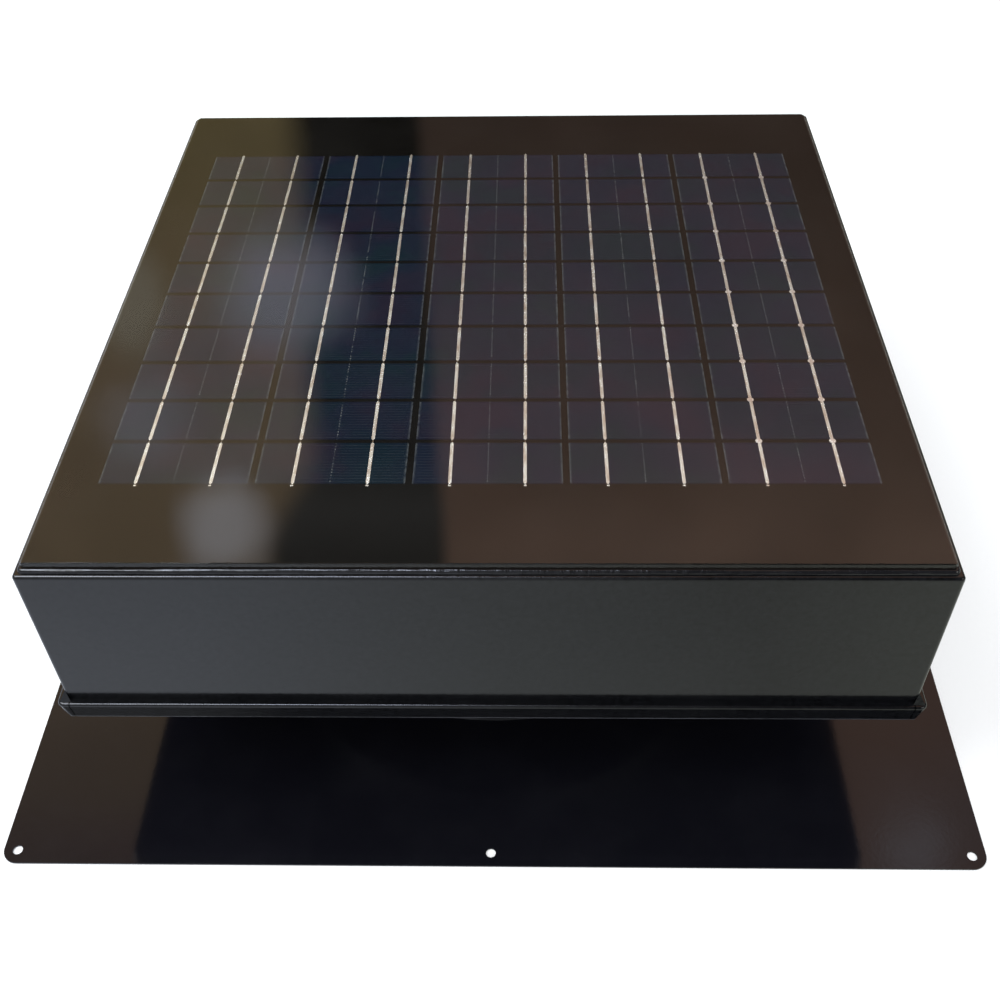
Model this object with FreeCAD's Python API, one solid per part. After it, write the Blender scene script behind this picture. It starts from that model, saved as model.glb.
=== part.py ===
"""Solar attic fan: a square roof ventilator with a solar panel on its hood and a brushless fan in its throat.

Units are millimetres. The origin is the centre of the flashing's underside, on the roof plane.
+Z points up out of the roof, +X to the right and +Y towards the rear.
"""

import FreeCAD, Part
import math
import os

V = FreeCAD.Vector
UP = V(0, 0, 1)
ORIGIN = V(0, 0, 0)

# ---- driving dimensions -------------------------------------------------------------------
SHEET = 1.0                       # coated steel sheet of the hood, collar and flashing
TOUCH = 0.02                      # assembly clearance between pieces that fit round each other

FLASHING_SIDE = 559.0
FLASHING_CORNER_R = 9.0
ROOF_HOLE_R = 2.8                 # roofing screw holes in the flashing
ROOF_HOLE_EDGE = 8.0              # hole centre to flashing edge

HOOD_SIDE = 460.0
HOOD_GAP = 90.0                   # flashing top to the hood's lower flange
HOOD_WALL = 99.5                  # height of the hood's walls
HOOD_CORNER_R = 2.5
HOOD_BEND_R = 1.8                 # outside radius of the folds
FLANGE_OUT = 4.7                  # the lower flange stands out this far from the wall
LIP_DROP = 13.0                   # the flange's edge turns down this far
LIP_LEAN = 2.0                    # and in again by this much at its foot
FLANGE_CORNER_R = 4.0

THROAT_R = 162.0                  # inside radius of the throat
THROAT_FOOT_R = 180.7
THROAT_BEAD_R = 2.2
THROAT_BEAD_Z = 107.5

PANEL_INSET = 4.2                 # the laminate stops this far inside the hood's edge
GLASS_T = 3.2
ENCAPSULANT_T = 0.8
BACKSHEET_T = 0.4
TAPE_T = 1.5
CELL_COLUMNS = 5
CELL_ROWS = 10
CELL_W = 78.0                     # half of a 156 mm cell
CELL_D = 31.8
CELL_T = 0.2
COLUMN_PITCH = 81.6
ROW_PITCH = 33.8
RIBBON_W = 2.0
RIBBON_T = 0.2
RIBBON_OFFSET = 19.5              # each column's two ribbons lie this far from its centre
RIBBON_END = 1.4                  # ribbons run this far past the outer cells
LINK_OUT = 6.0                    # the columns' links lie this far beyond the ribbons' ends
LINK_W = 5.0
LINK_T = 0.3
PANEL_CORNER_R = 2.0
GLASS_SEAM = 0.5                  # chamfer ground along the glass's edge
TAPE_W = 14.0
BEAD_OUT = 1.9                    # width and height of the sealant bead
BEAD_H = 2.2

BRACKET_Z = 22.0                  # underside of the motor bracket
BRACKET_T = 2.0
ARM_W = 26.0
ARM_COUNT = 4
ARM_START = 45.0                  # degrees from +X to the first arm
TAB_HEIGHT = 22.0

BASE_CAP_T = 10.0
CAN_LENGTH = 33.0
TOP_CAP_T = 9.0
CAN_R = 45.0
CAN_WALL = 2.0
EAR_R = 5.5
EAR_CIRCLE_R = 49.5
SHAFT_R = 4.0

BOLT_R = 2.5                      # M5 bolts hold the hood, the bracket and the motor
BOLT_FLATS = 8.0
BOLT_HEAD_T = 3.6
BOLT_NUT_T = 4.0
BOLT_CLEARANCE = 0.25
SMALL_SCREW_HOLE_R = 1.5          # M3 screws of the thermal switch

BLADE_COUNT = 5
BLADE_PITCH = 20.0                # degrees from the plane of rotation
BLADE_T = 1.5
SPIDER_T = 2.0
CAMBER_R = 120.0

# ---- levels that follow from them -----------------------------------------------------------
Z_FLASHING = SHEET
Z_FLANGE = Z_FLASHING + HOOD_GAP
Z_LIP = Z_FLANGE - LIP_DROP
Z_HOOD = Z_FLANGE + HOOD_WALL
Z_TAPE = Z_HOOD + TAPE_T
Z_BACK = Z_TAPE + BACKSHEET_T
Z_ENCAPSULANT = Z_BACK + ENCAPSULANT_T
Z_GLASS = Z_ENCAPSULANT + GLASS_T
PANEL_SIDE = HOOD_SIDE - 2 * PANEL_INSET
FLANGE_SIDE = HOOD_SIDE + 2 * FLANGE_OUT
SIDES = (-1, 1)
CORNERS = [(sx, sy) for sx in SIDES for sy in SIDES]
WALL = HOOD_SIDE / 2              # the hood wall's outer face
WALL_IN = WALL - SHEET            # and its inner face

Z_BRACKET = BRACKET_Z + BRACKET_T
ISOLATOR_FLANGE = 3.0
Z_MOTOR = Z_BRACKET + ISOLATOR_FLANGE
Z_CAN = Z_MOTOR + BASE_CAP_T
Z_CAN_TOP = Z_CAN + CAN_LENGTH
Z_MOTOR_TOP = Z_CAN_TOP + TOP_CAP_T
BEARING_R = 11.0                  # a 608 bearing, 22 x 8 x 7
BEARING_T = 7.0
INNER_RACE_R = 5.9
LOWER_BEARING_Z = Z_CAN - BEARING_T
UPPER_BEARING_Z = Z_CAN_TOP
STACK_Z = Z_CAN + 8.0             # foot of the stator's lamination stack
STACK_LENGTH = 20.0
Z_FAN = Z_MOTOR_TOP + 12.0        # plane of the blades' mid line

NODES = {}


def keep(name, *solids):
    """Holds a sub-part, made of one or more solids, for writing."""
    NODES[name] = list(solids)


# ---- shape helpers ---------------------------------------------------------------------------
def block(x, y, z):
    """A box given as three (low, high) pairs."""
    return Part.makeBox(x[1] - x[0], y[1] - y[0], z[1] - z[0], V(x[0], y[0], z[0]))


def disc(radius, low, high, at=(0, 0)):
    return Part.makeCylinder(radius, high - low, V(at[0], at[1], low))


def ring(outer, inner, low, high, at=(0, 0)):
    return disc(outer, low, high, at).cut(disc(inner, low - 1, high + 1, at))


def square(side, low, high, corner, depth=None):
    """An upright block with rounded corners, centred on the Z axis."""
    half, other = side / 2, (depth or side) / 2
    body = block((-half, half), (-other, other), (low, high))
    if corner > 0:
        body = body.makeFillet(corner, [e for e in body.Edges if upright(e)])
    return body


def upright(edge):
    a, b = edge.Vertexes[0].Point, edge.Vertexes[-1].Point
    return abs(a.x - b.x) < 1e-6 and abs(a.y - b.y) < 1e-6 and abs(a.z - b.z) > 1e-6


def edges_at(shape, level):
    """The edges that lie wholly in one horizontal plane."""
    return [e for e in shape.Edges if all(abs(v.Point.z - level) < 1e-6 for v in e.Vertexes)
            and abs(e.BoundBox.ZLength) < 1e-6]


def hexagon(across_flats, low, high):
    corner = across_flats / math.sqrt(3)
    points = [V(*polar(corner, k * 60, low)) for k in range(7)]
    return Part.Face(Part.makePolygon(points)).extrude(UP * (high - low))


def aim(shape, at, direction):
    """Moves a shape built along +Z from the origin to start at a point and run along a direction."""
    placed = shape.copy()
    placed.Placement = FreeCAD.Placement(V(*at), FreeCAD.Rotation(UP, V(*direction)))
    return placed


def turned(shape, degrees):
    placed = shape.copy()
    placed.rotate(ORIGIN, UP, degrees)
    return placed


def around(shape, count, start=0.0):
    """Copies of a shape, evenly spaced about the Z axis."""
    return [turned(shape, start + k * 360.0 / count) for k in range(count)]


def polar(radius, degrees, z):
    a = math.radians(degrees)
    return (radius * math.cos(a), radius * math.sin(a), z)


def revolved(points):
    """A solid of revolution from a closed outline of (radius, z) points."""
    outline = [V(r, 0, z) for r, z in points]
    return Part.Face(Part.makePolygon(outline + outline[:1])).revolve(ORIGIN, UP, 360)


def tube(points, radius):
    """A round cord along a smooth curve through the points."""
    curve = Part.BSplineCurve()
    curve.interpolate([V(*p) for p in points])
    path = Part.Wire([curve.toShape()])
    start = curve.value(curve.FirstParameter)
    heading = curve.tangent(curve.FirstParameter)[0]
    section = Part.Wire([Part.Circle(start, heading, radius).toShape()])
    return path.makePipeShell([section], True, True)


def pan_screw(shank_r, length, head_r, head_t):
    """A round-headed screw pointing down -Z, with the head's seat at z = 0."""
    head = disc(head_r, 0, head_t)
    head = head.makeFillet(head_t * 0.45, edges_at(head, head_t))
    recess = block((-0.45, 0.45), (-head_r * 0.55, head_r * 0.55), (head_t * 0.45, head_t + 1))
    cross = recess.fuse(turned(recess, 90))
    return head.fuse(disc(shank_r, -length, 0)).cut(cross)


def hex_bolt(shank_r, length, across_flats, head_t, flange_r=0.0):
    """A hexagon-headed bolt pointing down -Z, with the head's seat at z = 0."""
    body = hexagon(across_flats, 0, head_t).fuse(disc(shank_r, -length, 0))
    if flange_r:
        body = body.fuse(disc(flange_r, 0, head_t * 0.25))
    return body.removeSplitter()


def bolt_nut():
    return hexagon(BOLT_FLATS, 0, BOLT_NUT_T).cut(disc(BOLT_R + TOUCH, -1, BOLT_NUT_T + 1))


# ---- flashing, throat and hood -----------------------------------------------------------------
def roof_hole_places():
    reach = FLASHING_SIDE / 2 - ROOF_HOLE_EDGE
    return [(x, y) for x in (-reach, 0, reach) for y in (-reach, 0, reach) if (x, y) != (0, 0)]


def make_flashing():
    plate = square(FLASHING_SIDE, 0, SHEET, FLASHING_CORNER_R)
    holes = [disc(ROOF_HOLE_R, -1, SHEET + 1, at) for at in roof_hole_places()]
    return plate.cut(holes + [disc(THROAT_R, -1, SHEET + 1)])


CABLE_R = 2.4
CABLE_ANGLE = 62.0                # where the motor's cable passes through the throat wall
CABLE_HOLE_Z = 50.0
GROMMET_NECK_R = 4.2
BRACKET_BOLT_Z = Z_BRACKET + TAB_HEIGHT * 0.55


def across_wall(radius, wall_at, z, reach=10.0):
    """A round cutter that lies along +X and passes through a wall at the given distance from the axis."""
    return aim(disc(radius, 0, 2 * reach), (wall_at - reach, 0, z), (1, 0, 0))


def make_collar():
    """The throat: a foot on the flashing, a wall, and a rolled bead round the top."""
    outer = THROAT_R + SHEET
    foot_fold = 3.0
    low = Z_FLASHING
    profile = [(THROAT_R, low), (THROAT_FOOT_R, low), (THROAT_FOOT_R, low + SHEET),
               (outer + foot_fold, low + SHEET), (outer, low + SHEET + foot_fold),
               (outer, THROAT_BEAD_Z), (THROAT_R, THROAT_BEAD_Z)]
    bead = Part.makeTorus(THROAT_R + THROAT_BEAD_R, THROAT_BEAD_R, V(0, 0, THROAT_BEAD_Z), UP)
    collar = revolved(profile).fuse(bead)
    bolt_hole = across_wall(BOLT_R + BOLT_CLEARANCE, THROAT_R, BRACKET_BOLT_Z)
    cable_hole = across_wall(GROMMET_NECK_R, THROAT_R, CABLE_HOLE_Z)
    return collar.cut(around(bolt_hole, ARM_COUNT, ARM_START) + [turned(cable_hole, CABLE_ANGLE)])


def make_collar_seal():
    """A bead of sealant round the edge of the collar's foot."""
    width = 1.2
    shoulder, top = 0.9, SHEET
    edge, low = THROAT_FOOT_R, Z_FLASHING
    return revolved([(edge, low), (edge + width, low), (edge + width * 0.6, low + shoulder),
                     (edge + width * 0.2, low + top), (edge, low + top)])


SUPPORT_Y = 120.0                 # the four legs stand this far in front of and behind the centre
SUPPORT_W = 25.0
SUPPORT_T = 2.0
SUPPORT_FOOT = 26.0
SUPPORT_TOP = 146.0
HOOD_SCREW_Z = 132.0
LEG_PLACES = [(sx, y) for sx in SIDES for y in (-SUPPORT_Y, SUPPORT_Y)]

SLIT_INSET = 2.2                  # the flange is slit beside each corner ear
SLIT_W = 0.6
BOX_SLOT_GAP = 3.0                # clearance round the junction box in the hood's top plate

BOX_AT = (165.0, 165.0)           # junction box centre
BOX_W = 78.0
BOX_D = 64.0
BOX_DROP = 24.0
BOX_WALL = 2.0


def corner_gusset(sx, sy):
    """The small folded ear that closes the hood's lower corner, from the wall's edge out to the flange."""
    rise, reach, sunk = 6.5, 3.4, 0.4
    foot = Z_FLANGE - sunk

    def spot(dx, dy, z):
        return V(sx * (WALL + dx), sy * (WALL + dy), z)

    tip = spot(-0.8, -0.8, Z_FLANGE + rise)
    base = [spot(-1.0, -1.0, foot), spot(-3.4, reach * 0.75, foot), spot(reach, reach * 0.85, foot)]
    sides = [base, [base[0], base[1], tip], [base[1], base[2], tip], [base[2], base[0], tip]]
    faces = [Part.Face(Part.makePolygon(side + side[:1])) for side in sides]
    solid = Part.Solid(Part.Shell(faces))
    if solid.Volume < 0:
        solid.reverse()
    return solid


def lip_block(inset, low, high):
    """What lies inside the leaning lip, less an inset all round."""
    def outline(z):
        side = FLANGE_SIDE - 2 * (inset + LIP_LEAN * (Z_FLANGE - z) / LIP_DROP)
        body = square(side, z, z + 1, FLANGE_CORNER_R - inset)
        return [face for face in body.Faces if abs(face.CenterOfMass.z - z) < 1e-6][0].OuterWire

    return Part.makeLoft([outline(low), outline(high)], True, True)


def make_hood():
    """Walls, a top plate under the panel, and an outward flange with a turned-down lip round the bottom."""
    outer = square(HOOD_SIDE, Z_FLANGE - SHEET, Z_HOOD, HOOD_CORNER_R)
    outer = outer.makeFillet(HOOD_BEND_R, edges_at(outer, Z_HOOD))
    inner = square(HOOD_SIDE - 2 * SHEET, Z_FLANGE - 2 * SHEET, Z_HOOD - SHEET, HOOD_CORNER_R - SHEET)
    rim = lip_block(0, Z_LIP, Z_FLANGE)
    rim = rim.makeFillet(HOOD_BEND_R - 0.4, edges_at(rim, Z_FLANGE))
    hood = outer.fuse(rim.cut(lip_block(SHEET, Z_LIP - 1, Z_FLANGE - SHEET))).cut(inner)
    hood = hood.fuse([corner_gusset(sx, sy) for sx, sy in CORNERS])
    hole = disc(BOLT_R + BOLT_CLEARANCE, 0, 4 * SHEET)
    screw_holes = [aim(hole, (sx * (WALL - 2 * SHEET), y, HOOD_SCREW_Z), (sx, 0, 0)) for sx, y in LEG_PLACES]
    return hood.cut(corner_slits() + screw_holes + [junction_box_slot()]).removeSplitter()


def corner_slits():
    """Narrow cuts that part the front and rear flanges from the corner ears."""
    near, far = WALL - SLIT_INSET, WALL - SLIT_INSET - SLIT_W
    out = WALL + FLANGE_OUT + 1
    return [block(sorted((sx * near, sx * far)), sorted((sy * WALL, sy * out)), (Z_LIP - 1, Z_FLANGE + 0.2))
            for sx, sy in CORNERS]


def junction_box_slot():
    half_w = BOX_W / 2 + BOX_SLOT_GAP
    half_d = BOX_D / 2 + BOX_SLOT_GAP
    x, y = BOX_AT
    return block((x - half_w, x + half_w), (y - half_d, y + half_d), (Z_HOOD - 5 * SHEET, Z_HOOD + SHEET))


def support_leg():
    """The leg on the +X side: a folded angle with a hole for the hood's screw."""
    back, heel, toe = WALL_IN, WALL_IN - SUPPORT_T, WALL_IN - SUPPORT_FOOT
    low, tread = Z_FLASHING, Z_FLASHING + SUPPORT_T
    outline = [V(back, 0, low), V(toe, 0, low), V(toe, 0, tread), V(heel, 0, tread), V(heel, 0, SUPPORT_TOP),
               V(back, 0, SUPPORT_TOP)]
    leg = Part.Face(Part.makePolygon(outline + outline[:1])).extrude(V(0, SUPPORT_W, 0))
    leg.translate(V(0, -SUPPORT_W / 2, 0))
    fold = [e for e in leg.Edges if all(abs(v.Point.x - back) < 1e-6 and abs(v.Point.z - low) < 1e-6
                                        for v in e.Vertexes)]
    leg = leg.makeFillet(SUPPORT_T, fold)
    return leg.cut(across_wall(BOLT_R + BOLT_CLEARANCE, heel, HOOD_SCREW_Z, 3 * SUPPORT_T))


def make_supports():
    """Four folded legs that stand on the flashing and carry the hood's side walls."""
    legs = []
    for sx, y in LEG_PLACES:
        leg = support_leg() if sx > 0 else turned(support_leg(), 180)
        leg.translate(V(0, y, 0))
        legs.append(leg)
    return legs


def make_hood_fasteners():
    """The side screws with their sealing washers, and the weld nuts on the legs."""
    length, flange_r = 11.0, 5.6
    washer_t, washer_r = 1.5, 5.8
    screws, washers, nuts = [], [], []
    bolt = hex_bolt(BOLT_R, length, BOLT_FLATS, BOLT_HEAD_T, flange_r)
    washer = ring(washer_r, BOLT_R + TOUCH, -washer_t, 0)
    for sx, y in LEG_PLACES:
        seat = (sx * (WALL + washer_t), y, HOOD_SCREW_Z)
        nut_seat = (sx * (WALL_IN - SUPPORT_T - BOLT_NUT_T), y, HOOD_SCREW_Z)
        screws.append(aim(bolt, seat, (sx, 0, 0)))
        washers.append(aim(washer, seat, (sx, 0, 0)))
        nuts.append(aim(bolt_nut(), nut_seat, (sx, 0, 0)))
    keep("hood_screws", *screws)
    keep("hood_washers", *washers)
    keep("hood_weld_nuts", *nuts)


# ---- outlet screen -------------------------------------------------------------------------------
SCREEN_R = THROAT_R + 2 * THROAT_BEAD_R + TOUCH
SCREEN_T = 0.8
SCREEN_LOW = THROAT_BEAD_Z - 6.0
SCREEN_HIGH = Z_HOOD - 8.0
SCREEN_WINDOWS = 48
SCREEN_TIERS = 4
SCREEN_MARGIN = 13.0              # plain strip below the first row of windows
BAND_T = 1.0
BAND_W = 11.0
BAND_SCREW_R = 1.6
BAND_SCREW_FLATS = 5.5
BAND_NUT_T = 2.6
BAND_ANGLE = 200.0                # where the clamp strip's screw sits, degrees from +X


def make_screen():
    """A perforated band that keeps insects and birds out between the throat and the hood."""
    band = ring(SCREEN_R + SCREEN_T, SCREEN_R, SCREEN_LOW, SCREEN_HIGH)
    pitch = (SCREEN_HIGH - SCREEN_LOW - SCREEN_MARGIN) / SCREEN_TIERS
    open_w, open_h = 0.82, 0.86   # share of each pitch that is open
    window = 2 * math.pi * SCREEN_R / SCREEN_WINDOWS * open_w
    windows = []
    for tier in range(SCREEN_TIERS):
        low = SCREEN_LOW + SCREEN_MARGIN + tier * pitch
        hole = block((SCREEN_R - 4, SCREEN_R + 4), (-window / 2, window / 2), (low, low + pitch * open_h))
        windows += around(hole, SCREEN_WINDOWS)
    return band.cut(Part.makeCompound(windows))


def make_screen_band():
    """The clamp strip that holds the screen on the throat's bead, and its tightening screw."""
    inner = SCREEN_R + SCREEN_T + TOUCH
    low, high = SCREEN_LOW, SCREEN_LOW + BAND_W
    lug_out, lug_gap, lug_t = 11.0, 3.0, 1.5
    reach = lug_gap / 2 + lug_t
    strip = ring(inner + BAND_T, inner, low, high)
    gap = block((inner - 2, inner + lug_out + 1), (-lug_gap / 2, lug_gap / 2), (low - 1, high + 1))
    lugs = [block((inner, inner + lug_out), sorted((s * lug_gap / 2, s * reach)), (low, high)) for s in SIDES]
    lugs = [lug.cut(disc(inner, low - 1, high + 1)) for lug in lugs]
    screw_x, screw_z = inner + 6.5, (low + high) / 2
    hole = aim(disc(BAND_SCREW_R + 0.1, 0, 2 * reach + 4), (screw_x, -reach - 2, screw_z), (0, 1, 0))
    band = strip.fuse(lugs).cut([gap, hole]).removeSplitter()
    screw = hex_bolt(BAND_SCREW_R, 2 * reach + 5, BAND_SCREW_FLATS, BAND_NUT_T)
    screw = aim(screw, (screw_x, reach, screw_z), (0, 1, 0))
    nut = hexagon(BAND_SCREW_FLATS, 0, BAND_NUT_T).cut(disc(BAND_SCREW_R + TOUCH, -1, BAND_NUT_T + 1))
    nut = aim(nut, (screw_x, -reach - BAND_NUT_T, screw_z), (0, 1, 0))
    keep("screen_band", *[turned(piece, BAND_ANGLE) for piece in (band, screw, nut)])


# ---- solar panel ---------------------------------------------------------------------------------
def column_x(column):
    return (column - (CELL_COLUMNS - 1) / 2) * COLUMN_PITCH


def row_y(row):
    return (row - (CELL_ROWS - 1) / 2) * ROW_PITCH


def cell_blocks():
    top = Z_ENCAPSULANT - RIBBON_T
    cells = []
    for column in range(CELL_COLUMNS):
        for row in range(CELL_ROWS):
            x, y = column_x(column), row_y(row)
            cells.append(block((x - CELL_W / 2, x + CELL_W / 2), (y - CELL_D / 2, y + CELL_D / 2),
                               (top - CELL_T, top)))
    return cells


def ribbon_blocks():
    """Two ribbons along each column, and the links under the laminate that join the columns in series."""
    reach = row_y(CELL_ROWS - 1) + CELL_D / 2 + RIBBON_END
    ribbons = []
    for column in range(CELL_COLUMNS):
        for side in SIDES:
            x = column_x(column) + side * RIBBON_OFFSET
            ribbons.append(block((x - RIBBON_W / 2, x + RIBBON_W / 2), (-reach, reach),
                                 (Z_ENCAPSULANT - RIBBON_T, Z_ENCAPSULANT)))
    for column in range(CELL_COLUMNS - 1):
        end = (reach + LINK_OUT) * (1 if column % 2 else -1)
        span = (column_x(column) - RIBBON_OFFSET, column_x(column + 1) + RIBBON_OFFSET)
        ribbons.append(block(span, (end - LINK_W / 2, end + LINK_W / 2), (Z_BACK, Z_BACK + LINK_T)))
    return ribbons


def make_panel():
    """A glass laminate: glass, black encapsulant holding the cells and ribbons, and a backsheet."""
    cells, ribbons = cell_blocks(), ribbon_blocks()
    sheet = square(PANEL_SIDE, Z_BACK, Z_ENCAPSULANT, PANEL_CORNER_R)
    keep("panel_encapsulant", sheet.cut(Part.makeCompound(cells)).cut(Part.makeCompound(ribbons)))
    keep("solar_cells", *cells)
    keep("cell_ribbons", *ribbons)
    glass = square(PANEL_SIDE, Z_ENCAPSULANT, Z_GLASS, PANEL_CORNER_R)
    keep("panel_glass", glass.makeChamfer(GLASS_SEAM, edges_at(glass, Z_GLASS)))
    keep("panel_backsheet", square(PANEL_SIDE, Z_TAPE, Z_BACK, PANEL_CORNER_R))


def make_panel_fixing():
    """The foam tape under the laminate, and the bead of sealant round its edge."""
    tape_side = PANEL_SIDE - 3.0
    hole_side = tape_side - 2 * TAPE_W
    tape = square(tape_side, Z_HOOD, Z_TAPE, PANEL_CORNER_R)
    keep("panel_tape", tape.cut(square(hole_side, Z_HOOD - 1, Z_TAPE + 1, PANEL_CORNER_R)))
    bead = square(PANEL_SIDE + 2 * BEAD_OUT, Z_HOOD, Z_HOOD + BEAD_H, PANEL_CORNER_R + 1)
    bead = bead.makeFillet(BEAD_OUT - 0.1, edges_at(bead, Z_HOOD + BEAD_H))
    keep("panel_sealant", bead.cut(square(PANEL_SIDE, Z_HOOD - 1, Z_HOOD + BEAD_H + 1, PANEL_CORNER_R)))


# ---- junction box and wiring -----------------------------------------------------------------------
GLAND_Z = Z_TAPE - 12.0
GLAND_R = 4.98
PLUG_LOW = 128.0
PLUG_HIGH = 152.0
SOCKET_LOW = 100.0
BESIDE_WALL = THROAT_R + 7.5      # the cable runs down the throat this far from the axis
MOTOR_CABLE_Z = 41.2              # where the cable enters the motor


def polar_xy(radius, degrees):
    return polar(radius, degrees, 0)[:2]


PLUG_AT = polar_xy(THROAT_R + 27.0, 61.5)


def make_junction_box():
    """A moulded box glued to the backsheet, with its lid and lid screws, terminals and a bypass diode."""
    low, high = Z_TAPE - BOX_DROP, Z_TAPE
    x, y = BOX_AT
    lid_t, post_r, post_inset = 2.5, 3.6, 5.0
    screw_r, screw_length, screw_head_r, screw_head_t = 1.3, 9.0, 2.6, 1.6
    corners = [(x + sx * (BOX_W / 2 - post_inset), y + sy * (BOX_D / 2 - post_inset)) for sx, sy in CORNERS]

    def upright_box(inset, z):
        body = square(BOX_W - 2 * inset, z[0], z[1], 3.0 - inset * 0.5, BOX_D - 2 * inset)
        body.translate(V(x, y, 0))
        return body

    posts = [disc(post_r, low + lid_t, high, at) for at in corners]
    bores = [disc(screw_r, low - 1, low + lid_t + screw_length - 1, at) for at in corners]
    shell = upright_box(0, (low + lid_t, high)).cut(upright_box(BOX_WALL, (low, high - BOX_WALL)))
    gland_hole = disc(GLAND_R + TOUCH, 0, 4 * BOX_WALL)
    gland_hole = aim(gland_hole, (x - BOX_W / 2 - BOX_WALL, y, GLAND_Z), (1, 0, 0))
    keep("junction_box", shell.fuse(posts).cut(bores + [gland_hole]).removeSplitter())
    keep("junction_box_lid", upright_box(0, (low, low + lid_t)).cut(bores))
    screw = pan_screw(screw_r, screw_length, screw_head_r, screw_head_t)
    keep("junction_box_screws", *[aim(screw, (*at, low), (0, 0, -1)) for at in corners])
    keep("box_terminals", *terminals(high - BOX_WALL))


def terminals(roof):
    """Two brass rails on the box's roof, bridged by the bypass diode."""
    x, y = BOX_AT
    rail_t, rail_w, rail_y = 1.2, 8.0, 10.0
    rails = [block((x - 20, x + 24), (y + dy - rail_w / 2, y + dy + rail_w / 2), (roof - rail_t, roof))
             for dy in (-rail_y, rail_y)]
    diode_r, diode_half, wire, wire_x = 2.4, 4.5, 1.0, x + 8
    wire_low = roof - 4.1
    wire_span = (wire_x - wire / 2, wire_x + wire / 2)
    diode = aim(disc(diode_r, 0, 2 * diode_half), (wire_x, y - diode_half, wire_low + wire / 2), (0, 1, 0))
    legs = [block(wire_span, (y + dy - wire / 2, y + dy + wire / 2), (wire_low, roof - rail_t))
            for dy in (-rail_y, rail_y)]
    wires = [block(wire_span, sorted((y + s * diode_half, y + s * rail_y)), (wire_low, wire_low + wire))
             for s in SIDES]
    return rails + [diode.fuse(legs + wires)]


def make_panel_lead():
    """The lead from the junction box down to the plug, and the gland it leaves through."""
    x, y = BOX_AT
    mouth = x - BOX_W / 2
    plug_x, plug_y = PLUG_AT
    lead = tube([(mouth + 6, y, GLAND_Z), (mouth - 4, y, GLAND_Z), (mouth - 16, y, GLAND_Z),
                 (mouth - 24, y + 4, GLAND_Z - 5), (plug_x, plug_y, PLUG_HIGH + 12),
                 (plug_x, plug_y, PLUG_HIGH - 6)], CABLE_R)
    keep("panel_lead", lead)
    nut_t, dome_length = 5.0, 8.0
    barrel = aim(disc(GLAND_R, 0, 2 * BOX_WALL), (mouth, y, GLAND_Z), (1, 0, 0))
    nut = aim(hexagon(14.0, 0, nut_t), (mouth - nut_t, y, GLAND_Z), (1, 0, 0))
    dome = aim(Part.makeCone(4.2, 6.2, dome_length), (mouth - nut_t - dome_length, y, GLAND_Z), (1, 0, 0))
    keep("cable_gland", barrel.fuse([nut, dome]).cut(lead))


def make_motor_lead():
    """The cable from the socket down the throat's outside, through its wall and along an arm to the motor."""
    plug_x, plug_y = PLUG_AT
    through_wall = THROAT_R + SHEET / 2
    keep("motor_lead", tube([
        (plug_x, plug_y, SOCKET_LOW + 6), (plug_x, plug_y, SOCKET_LOW - 6),
        polar(BESIDE_WALL + 10.5, CABLE_ANGLE, 84), polar(BESIDE_WALL, CABLE_ANGLE, 74),
        polar(BESIDE_WALL, CABLE_ANGLE, 66), polar(BESIDE_WALL + 2.5, CABLE_ANGLE, 56),
        polar(BESIDE_WALL - 1.5, CABLE_ANGLE, CABLE_HOLE_Z + 0.2),
        polar(through_wall, CABLE_ANGLE, CABLE_HOLE_Z),
        polar(through_wall - 6.5, CABLE_ANGLE, CABLE_HOLE_Z - 0.2),
        polar(148, 59, 42), polar(136, 53, 30), polar(120, 47, 27.0), polar(102, 45, 26.9),
        polar(84, 45, 26.9), polar(68, 45, 30), polar(55, 45, 38.5),
        polar(43.4, 45, MOTOR_CABLE_Z - 0.2)], CABLE_R))


def make_connectors():
    """The panel's plug pushed into the motor's ribbed socket."""
    pin_r, barrel_r, collar_r, socket_r = 3.0, 6.6, 8.0, 8.6
    joint = PLUG_LOW + 6
    barrel = disc(barrel_r, joint, PLUG_HIGH, PLUG_AT)
    collar = disc(collar_r, PLUG_HIGH - 9, PLUG_HIGH - 1, PLUG_AT)
    pin = disc(pin_r, PLUG_LOW - 10, joint, PLUG_AT)
    keep("connector_plug", barrel.fuse([collar, pin]).cut(NODES["panel_lead"][0]).removeSplitter())
    socket = disc(socket_r, SOCKET_LOW, joint, PLUG_AT)
    socket = socket.cut(disc(pin_r + 0.05, PLUG_LOW - 11, joint + 1, PLUG_AT))
    rib = block((socket_r - 0.2, socket_r + 1), (-1.0, 1.0), (SOCKET_LOW + 3, SOCKET_LOW + 13))
    ribs = [turned_about(rib, k * 45, *PLUG_AT) for k in range(8)]
    keep("connector_socket", socket.fuse(ribs).cut(NODES["motor_lead"][0]).removeSplitter())


def wall_grommet():
    """The rubber grommet where the cable passes through the throat's wall."""
    flange_r, flange_t, length = 6.6, 2.4, 7.0
    flanges = [disc(flange_r, 0, flange_t), disc(flange_r, length - flange_t, length)]
    body = disc(GROMMET_NECK_R - TOUCH, flange_t - 0.1, length - flange_t + 0.1).fuse(flanges)
    body = aim(body, (THROAT_R + SHEET / 2 - length / 2, 0, CABLE_HOLE_Z), (1, 0, 0))
    return turned(body, CABLE_ANGLE).cut([NODES["motor_lead"][0], NODES["throat_collar"][0]])


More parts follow.
